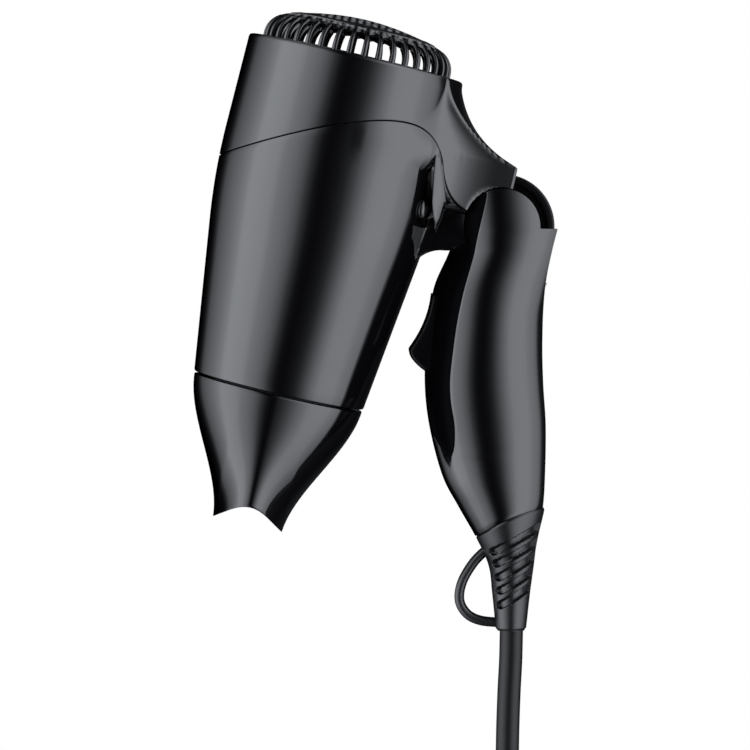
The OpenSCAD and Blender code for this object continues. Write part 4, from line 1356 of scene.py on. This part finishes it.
        bm = surface(cols, len(upper) - 1 + lower, rear_part)
        stop = self.cover_angle(self.cover_tip)

        def front_part(u: float, v: float) -> Vector:
            angle = lerp(stop, math.pi, u)
            return self.at(angle, lerp(self.cover_tip, self.low_edge(angle), v))

        join(bm, surface(22, lower, front_part))

        def apron(u: float, v: float) -> Vector:
            start = self.tongue(u) - self.gap * ease(u * 6)
            z = lerp(start, self.cover_tip, v)
            return self.at(lerp(self.cover_angle(z), math.pi, u), z)

        join(bm, surface(22, 6, apron))
        bmesh.ops.remove_doubles(bm, verts=bm.verts, dist=1e-3)
        if side < 0:
            bmesh.ops.scale(bm, vec=(1, -1, 1), verts=bm.verts)
        return bm

    def low_edge(self, angle: float) -> float:
        """The height where the section meets the strain relief, at an angle round it."""
        z = -self.length
        for _ in range(12):
            z = self.relief_seam(self.at(angle, z).x)
        return z

    def front_angle(self, z: float) -> float:
        """The angle where the section ends at the front."""
        return self.angle_at(self.edges(z)[0], z) if z > self.throat else math.pi

    def tongue(self, share: float) -> float:
        """The height of the cover's lower edge at a share of the way from its tip to the front."""
        return lerp(self.cover_tip, self.cover_front, ease(share) ** 0.8)

    def cover(self) -> Shape:
        """The front cover, on both sides of the middle."""
        upper = [z for z in self.heights() if z <= self.cover_top]
        count = len(upper) - 1

        def place(u: float, v: float) -> Vector:
            share = 1 - abs(2 * u - 1)
            z = upper[round(v * count)]
            if z <= self.tip_from:
                drawn = (z - self.tip_from) / (self.cover_tip - self.tip_from)
                z = lerp(self.tip_from, self.tongue(share), drawn)
            spot = self.at(lerp(self.cover_angle(z) + 0.012, self.front_angle(z), share), z)
            if z > self.throat:
                spot.y = max(spot.y, self.tab_from)
            return Vector((spot.x, math.copysign(spot.y, u - 0.5), z)) if share < 1 - 1e-6 else spot

        return surface(56, count, place)

    def add_wall(self, piece: bpy.types.Object) -> None:
        """Gives a piece its wall, and softens the wall's edges."""
        solid = piece.modifiers.new("wall", "SOLIDIFY")
        solid.thickness = self.wall * MM
        solid.offset = -1.0
        solid.use_even_offset = False
        soft = piece.modifiers.new("edge", "BEVEL")
        soft.width = self.edge_r * MM
        soft.segments = 2
        soft.limit_method = "ANGLE"
        soft.angle_limit = math.radians(60)

    def build(self) -> None:
        """Builds the grip."""
        for bm, name, finish, slot, node in (
            (self.shell(-1), "grip_left_shell_skin", GRIP_ABS, Slot.GRIP, "grip_left_shell"),
            (self.shell(1), "grip_right_shell_skin", GRIP_ABS, Slot.GRIP, "grip_right_shell"),
            (self.cover(), "front_cover_skin", COVER_ABS, Slot.COVER, "grip_front_cover"),
        ):
            self.add_wall(publish(bm, name, HINGE, Body.GRIP, finish, slot, [node], 30))


# ---------------------------------------------------------------- thumb slide


@dataclass
class ThumbSlide:
    """The thumb slide on the front of the grip, in the track frame."""

    length: float = 22.6
    rise: float = 5.4
    width: float = 13.0
    floor: float = 1.2
    edge_r: float = 1.1

    def build(self) -> None:
        """Builds the slide."""
        h = self.length / 2
        line = [(self.floor + 1.5, h), (-0.4, h)]
        line += bend((-0.4, h), (-0.4, 0.25 * h), (-self.rise, -0.48 * h), 12)[1:]
        line += bend((-self.rise, -0.48 * h), (-self.rise - 0.1, -0.72 * h), (-0.3, -h), 8)[1:]
        line.append((self.floor + 1.5, -h))
        bm = bmesh.new()
        half = self.width / 2
        face = bm.faces.new([bm.verts.new((x, -half, z)) for x, z in line])
        moved = bmesh.ops.extrude_face_region(bm, geom=[face])["geom"]
        verts = [v for v in moved if isinstance(v, bmesh.types.BMVert)]
        bmesh.ops.translate(bm, verts=verts, vec=(0, self.width, 0))
        bmesh.ops.recalc_face_normals(bm, faces=bm.faces)
        round_edges(bm, [e for e in bm.edges if len({round(v.co.y, 3) for v in e.verts}) == 1], self.edge_r)
        publish(bm, "thumb_slide", TRACK, Body.SWITCH, KNOB_ABS, Slot.COVER, ["switch_knob"], 35)


# ---------------------------------------------------------------- strain relief


@dataclass
class StrainRelief:
    """The ribbed strain relief with its hanging loop, in the hinge frame."""

    grip: Grip
    groove_w: float = 2.2
    groove_deep: float = 1.5
    loop_d: float = 2.9
    # Each groove's two ends on the side
    grooves: tuple[tuple[Point, Point], ...] = (
        ((-2.4, -95.1), (11.7, -88.0)), ((-1.5, -98.7), (11.5, -92.3)), ((-0.9, -102.8), (11.2, -96.3)),
        ((-0.4, -106.8), (10.6, -100.9)), ((-0.3, -111.1), (10.1, -105.2)),
    )

    # The grooves stop at the plain rib down the front and the back, where the section's sine is less
    rib_side: float = 0.12

    def carve(self, x: float, z: float) -> float:
        """How deep the grooves go at a place on the side."""
        deepest = 0.0
        for (ax, az), (bx, bz) in self.grooves:
            dx, dz = bx - ax, bz - az
            share = min(max(((x - ax) * dx + (z - az) * dz) / (dx * dx + dz * dz), 0.0), 1.0)
            off = math.hypot(x - ax - share * dx, z - az - share * dz)
            deepest = max(deepest, ease((self.groove_w / 2 + 0.25 - off) / 0.5))
        return deepest * self.groove_deep

    def body(self) -> Shape:
        """The moulded body, closed by a point at each end."""
        end = -self.grip.length - self.grip.relief
        rows = 170

        def place(u: float, v: float) -> Vector:
            angle = math.tau * u
            fold = min(angle, math.tau - angle)
            top = self.grip.low_edge(fold) - self.grip.gap
            row = round(v * rows)
            if row == 0:
                start = self.grip.at(fold, top)
                return Vector((0.8 * start.x, 0, start.z))
            if row == rows:
                return Vector((self.grip.exit_x, 0, end))
            z = lerp(top, end, (row - 1) / (rows - 2))
            groove = self.carve(self.grip.at(fold, z).x, z) if math.sin(fold) > self.rib_side else 0.0
            soft = 0.35 * (1 - ease((row - 1) / 3)) + 0.5 * (1 - ease((rows - 1 - row) / 5))
            spot = self.grip.at(fold, z, groove + soft)
            return Vector((spot.x, spot.y if angle <= math.pi else -spot.y, z))

        return surface(112, rows, place)

    def loop(self) -> Shape:
        """The hanging loop."""
        route = [
            (-4, -3.4), (-8, -7.4), (-11.4, -13.2), (-12.2, -18.6), (-10, -22.6), (-6, -24.6), (-0.2, -25.2),
        ]
        middle = smooth([Vector((x, 0, z - self.grip.length)) for x, z in route], 8)
        return tube(middle, self.loop_d / 2, 24)

    def build(self) -> None:
        """Builds the relief."""
        bm = self.body()
        join(bm, self.loop())
        publish(bm, "strain_relief_skin", HINGE, Body.GRIP, RELIEF_PVC, Slot.RELIEF, ["strain_relief"], 40)


# ---------------------------------------------------------------- inner parts


INNER_FINISHES: dict[Finish, tuple[str, ...]] = {
    INNER_PBT: ("fan_duct", "fan_impeller", "outlet_collar", "outlet_guard", "cord_clamp"),
    SWITCH_NYLON: ("switch_body",),
    ZINC_STEEL: (
        "motor", "motor_shaft", "hinge_pin", "detent_spring", "detent_ball", "housing_screws", "grip_screws",
        "nozzle_clip_ring", "thermostat",
    ),
    MICA_SHEET: ("heater_boards", "heat_shield"),
    NICHROME: ("heater_coil",),
    FUSE_CASE: ("thermal_fuse",),
    BOARD_EPOXY: ("rectifier_board",),
    LEAD_PVC: ("barrel_leads", "grip_leads"),
    PIN_NICKEL: ("plug_pins",),
}


def dress(nodes: dict[str, bpy.types.Object]) -> None:
    """Gives every CAD node that stays its finish."""
    for finish, names in INNER_FINISHES.items():
        for name in names:
            mesh = nodes[name].data
            mesh.materials.clear()
            mesh.materials.append(finish.material())


def corners() -> list[list[float]]:
    """The whole object's lowest and highest corners, as plain lists."""
    return [list(map(float, corner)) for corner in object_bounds()]


def main() -> None:
    """Builds the scene."""
    logging.basicConfig(level=logging.INFO, format="%(message)s", stream=sys.stdout)
    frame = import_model()
    nodes = frame["nodes"]
    Studio().build()
    dress(nodes)
    Mains().build(nodes)
    BarrelShells().build()
    IntakeGrille().build()
    Nozzle().build()
    Drum().build()
    grip = Grip()
    grip.build()
    ThumbSlide().build()
    StrainRelief(grip).build()


if __name__ == "__main__":
    main()
